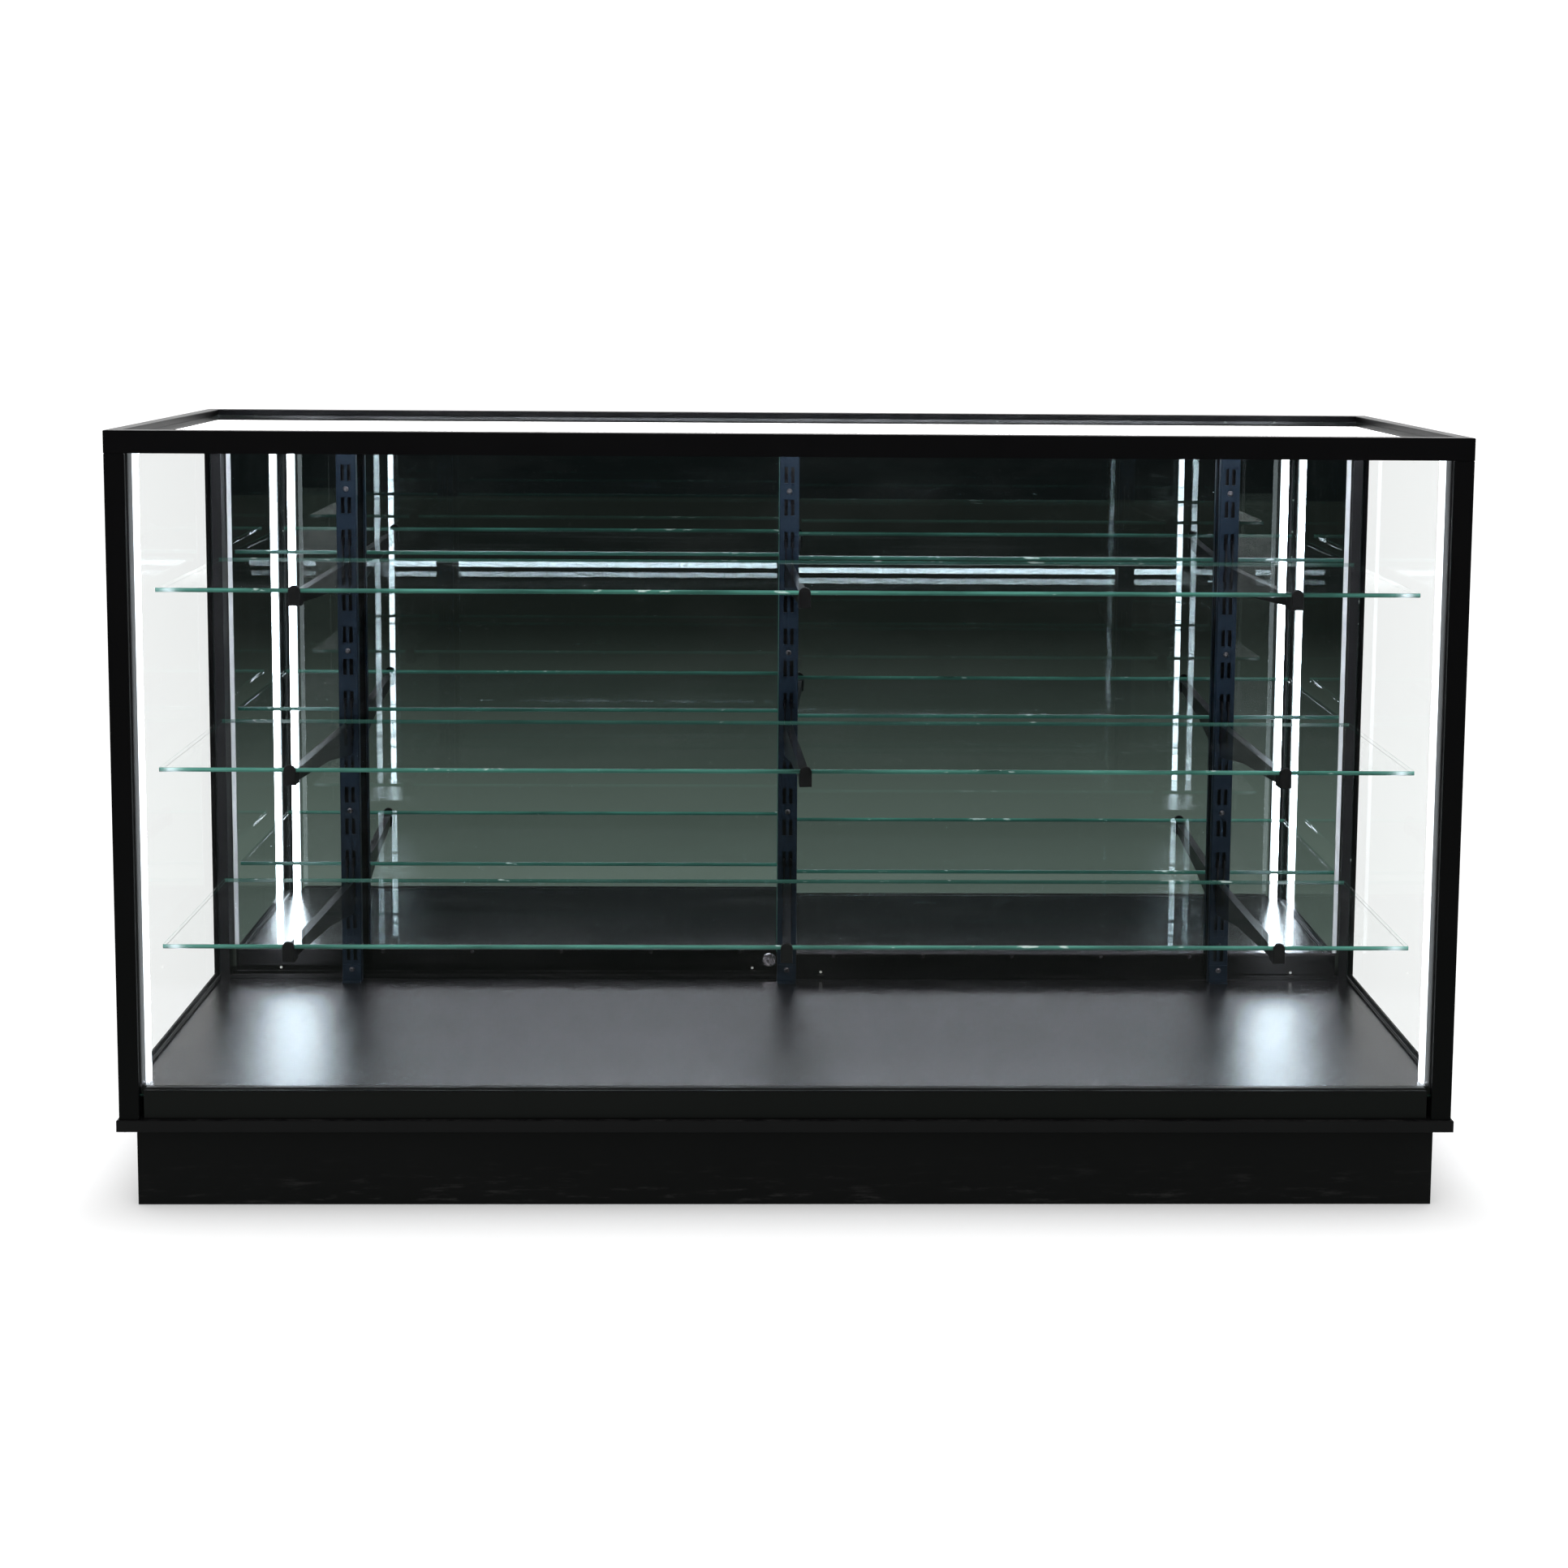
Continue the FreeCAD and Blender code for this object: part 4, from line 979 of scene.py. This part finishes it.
class COUNTER_OT_stage(CounterOperator, bpy.types.Operator):
    """Set the floor, the soft light and the camera"""
    bl_idname = "counter.stage"
    bl_label = "Studio"

    def make(self, context):
        self.world(context)
        self.floor(context)
        self.flag(context)
        self.camera(context)
        scene = context.scene
        scene.view_settings.view_transform = "Standard"
        scene.cycles.max_bounces = 24
        scene.cycles.glossy_bounces = 16
        scene.cycles.transparent_max_bounces = 48
        scene.cycles.diffuse_bounces = 4
        scene.cycles.sample_clamp_indirect = 20.0
        scene.cycles.blur_glossy = 0.0

    def world(self, context):
        """White to the camera, an even fill for light, and a dark room with a soft box in reflections."""
        studio = studio_of()
        world = bpy.data.worlds.new("studio_light")
        world.use_nodes = True
        tree = NodeTree(world.node_tree)
        way = tree.node("ShaderNodeTexCoord", output="Generated")
        ahead = tree.axis(way, 1)
        up = tree.axis(way, 2)
        white = (studio.backdrop,) * 3
        skyline = (2.8, 2.8, 2.8)
        box = tuple(c * studio.soft_box for c in (1.10, 1.0, 1.12))
        wall = tree.tint(studio.room_wall, scaled(studio.room_wall, 3.2), up.above(0.10, 0.75))
        rear = ahead.above(0.05, 0.35) * up.above(0.02, 0.05)
        behind = tree.over(wall, white, rear * (1.0 - up.above(0.30, 0.36)))
        behind = tree.over(behind, skyline, rear * (1.0 - up.above(0.10, 0.14)))
        overhead = (0.0 - ahead).above(0.3, 0.6) * up.above(0.42, 0.52)
        behind = tree.over(behind, box, overhead)
        room = tree.node("ShaderNodeBackground", None, {"Color": behind, "Strength": 1.0})
        fill = tree.node("ShaderNodeBackground", None, {"Color": WHITE, "Strength": studio.fill})
        card = tree.node("ShaderNodeBackground", None, {"Color": (*white, 1.0), "Strength": 1.0})
        glossy = tree.node("ShaderNodeLightPath", output="Is Glossy Ray")
        seen = tree.node("ShaderNodeLightPath", output="Is Camera Ray")
        lit = tree.blend(seen, tree.blend(glossy, fill, room), card)
        tree.node("ShaderNodeOutputWorld", None, {"Surface": lit})
        context.scene.world = world

    @staticmethod
    def beyond(value, half):
        """How far a coordinate lies outside the plinth."""
        return value.maths("MAXIMUM", value.maths("ABSOLUTE", value) - half, 0.0)

    def floor(self, context):
        """Pale where the case shades it, white further out, and dim in reflections."""
        studio = studio_of()
        material, tree = new_finish("studio_floor")
        cloud = tree.noise(1.3, 3.0)
        pale = tree.principled(
            Base_Color=tree.tint((0.93, 0.93, 0.93), (0.96, 0.96, 0.96), cloud), Roughness=0.85,
            Specular_IOR_Level=0.1)
        spot = tree.place()
        outside = [self.beyond(tree.axis(spot, index), half) for index, half in enumerate(PLINTH_HALF)]
        reach = (outside[0] * outside[0] + outside[1] * outside[1]) ** 0.5
        card = tree.node("ShaderNodeEmission", None, {"Color": WHITE, "Strength": studio.backdrop})
        ground = tree.blend(reach.above(-0.03, 0.17), pale, card)
        far = (1.0 - (0.0 - tree.axis(spot, 1)).above(0.4, 4.2)) ** 1.5
        shade = tree.tint(scaled(studio.room_floor, 0.06), studio.room_floor, far)
        dim = tree.node("ShaderNodeEmission", None, {"Color": shade, "Strength": 1.0})
        glossy = tree.node("ShaderNodeLightPath", output="Is Glossy Ray")
        tree.surface(tree.blend(glossy, ground, dim))
        made = bmesh.new()
        bmesh.ops.create_grid(made, x_segments=1, y_segments=1, size=9.0)
        mesh = close_mesh(made, "studio_floor")
        mesh.materials.append(material)
        floor = bpy.data.objects.new("studio_floor", mesh)
        floor.location.z = -0.0006
        context.scene.collection.objects.link(floor)

    def flag(self, context):
        """A black card before the case that only reflections meet, and only from below."""
        material, tree = new_finish("studio_flag")
        below = tree.node("ShaderNodeNewGeometry", output="Backfacing")
        black = tree.node("ShaderNodeEmission", None, {"Color": BLACK, "Strength": 1.0})
        clear = tree.node("ShaderNodeBsdfTransparent")
        tree.surface(tree.blend(below, clear, black))
        mesh = bpy.data.meshes.new("studio_flag")
        near = -0.27
        far = -0.80
        half = 1.2
        height = 0.40
        corners = [(-half, far, height), (half, far, height), (half, near, height), (-half, near, height)]
        mesh.from_pydata(corners, [], [(0, 1, 2, 3)])
        mesh.materials.append(material)
        flag = bpy.data.objects.new("studio_flag", mesh)
        flag.visible_camera = False
        flag.visible_diffuse = False
        flag.visible_transmission = False
        flag.visible_shadow = False
        context.scene.collection.objects.link(flag)

    def camera(self, context):
        studio = studio_of()
        tilt = studio.camera_tilt
        pan = studio.camera_pan
        roll = studio.camera_roll
        reach = math.cos(tilt)
        ahead = Vector((math.sin(pan) * reach, math.cos(pan) * reach, -math.sin(tilt)))
        level = Vector((math.cos(pan), -math.sin(pan), 0.0))
        upright = level.cross(ahead)
        right = level * math.cos(roll) + upright * math.sin(roll)
        up = upright * math.cos(roll) - level * math.sin(roll)
        lens = bpy.data.cameras.new("camera")
        lens.sensor_width = 36.0
        lens.sensor_fit = "HORIZONTAL"
        lens.lens = studio.focal_pixels / PHOTO_SIZE * lens.sensor_width
        lens.shift_x = (PHOTO_SIZE / 2 - studio.axis_x) / PHOTO_SIZE
        lens.shift_y = (studio.axis_y - PHOTO_SIZE / 2) / PHOTO_SIZE
        lens.clip_end = 100.0
        camera = bpy.data.objects.new("camera", lens)
        turn = Matrix((right, up, -ahead)).transposed().to_4x4()
        camera.matrix_world = Matrix.Translation(studio.camera_place) @ turn
        context.scene.collection.objects.link(camera)
        context.scene.camera = camera


class COUNTER_PT_panel(bpy.types.Panel):
    bl_idname = "COUNTER_PT_panel"
    bl_label = "Display counter"
    bl_space_type = "VIEW_3D"
    bl_region_type = "UI"
    bl_category = "Counter"

    def draw(self, context):
        column = self.layout.column()
        for operator in OPERATORS:
            column.operator(operator.bl_idname)


GROUPS = (CounterFinish, CounterHardware, CounterStudio)
OPERATORS = (
    COUNTER_OT_frame, COUNTER_OT_base, COUNTER_OT_panes, COUNTER_OT_shelves, COUNTER_OT_doors,
    COUNTER_OT_lock, COUNTER_OT_standards, COUNTER_OT_caps, COUNTER_OT_screws, COUNTER_OT_lights,
    COUNTER_OT_stage,
)
CLASSES = GROUPS + OPERATORS + (COUNTER_PT_panel,)


def register():
    for cls in CLASSES:
        bpy.utils.register_class(cls)
    bpy.types.Scene.counter_finish = bpy.props.PointerProperty(type=CounterFinish)
    bpy.types.Scene.counter_hardware = bpy.props.PointerProperty(type=CounterHardware)
    bpy.types.Scene.counter_studio = bpy.props.PointerProperty(type=CounterStudio)


def unregister():
    for name in ("counter_finish", "counter_hardware", "counter_studio"):
        delattr(bpy.types.Scene, name)
    for cls in reversed(CLASSES):
        bpy.utils.unregister_class(cls)


def main():
    register()
    bpy.ops.counter.frame()
    bpy.ops.counter.base()
    bpy.ops.counter.panes()
    bpy.ops.counter.shelves()
    bpy.ops.counter.doors()
    bpy.ops.counter.lock()
    bpy.ops.counter.standards()
    bpy.ops.counter.caps()
    bpy.ops.counter.screws()
    bpy.ops.counter.lights()
    bpy.ops.counter.stage()


if __name__ == "__main__":
    main()
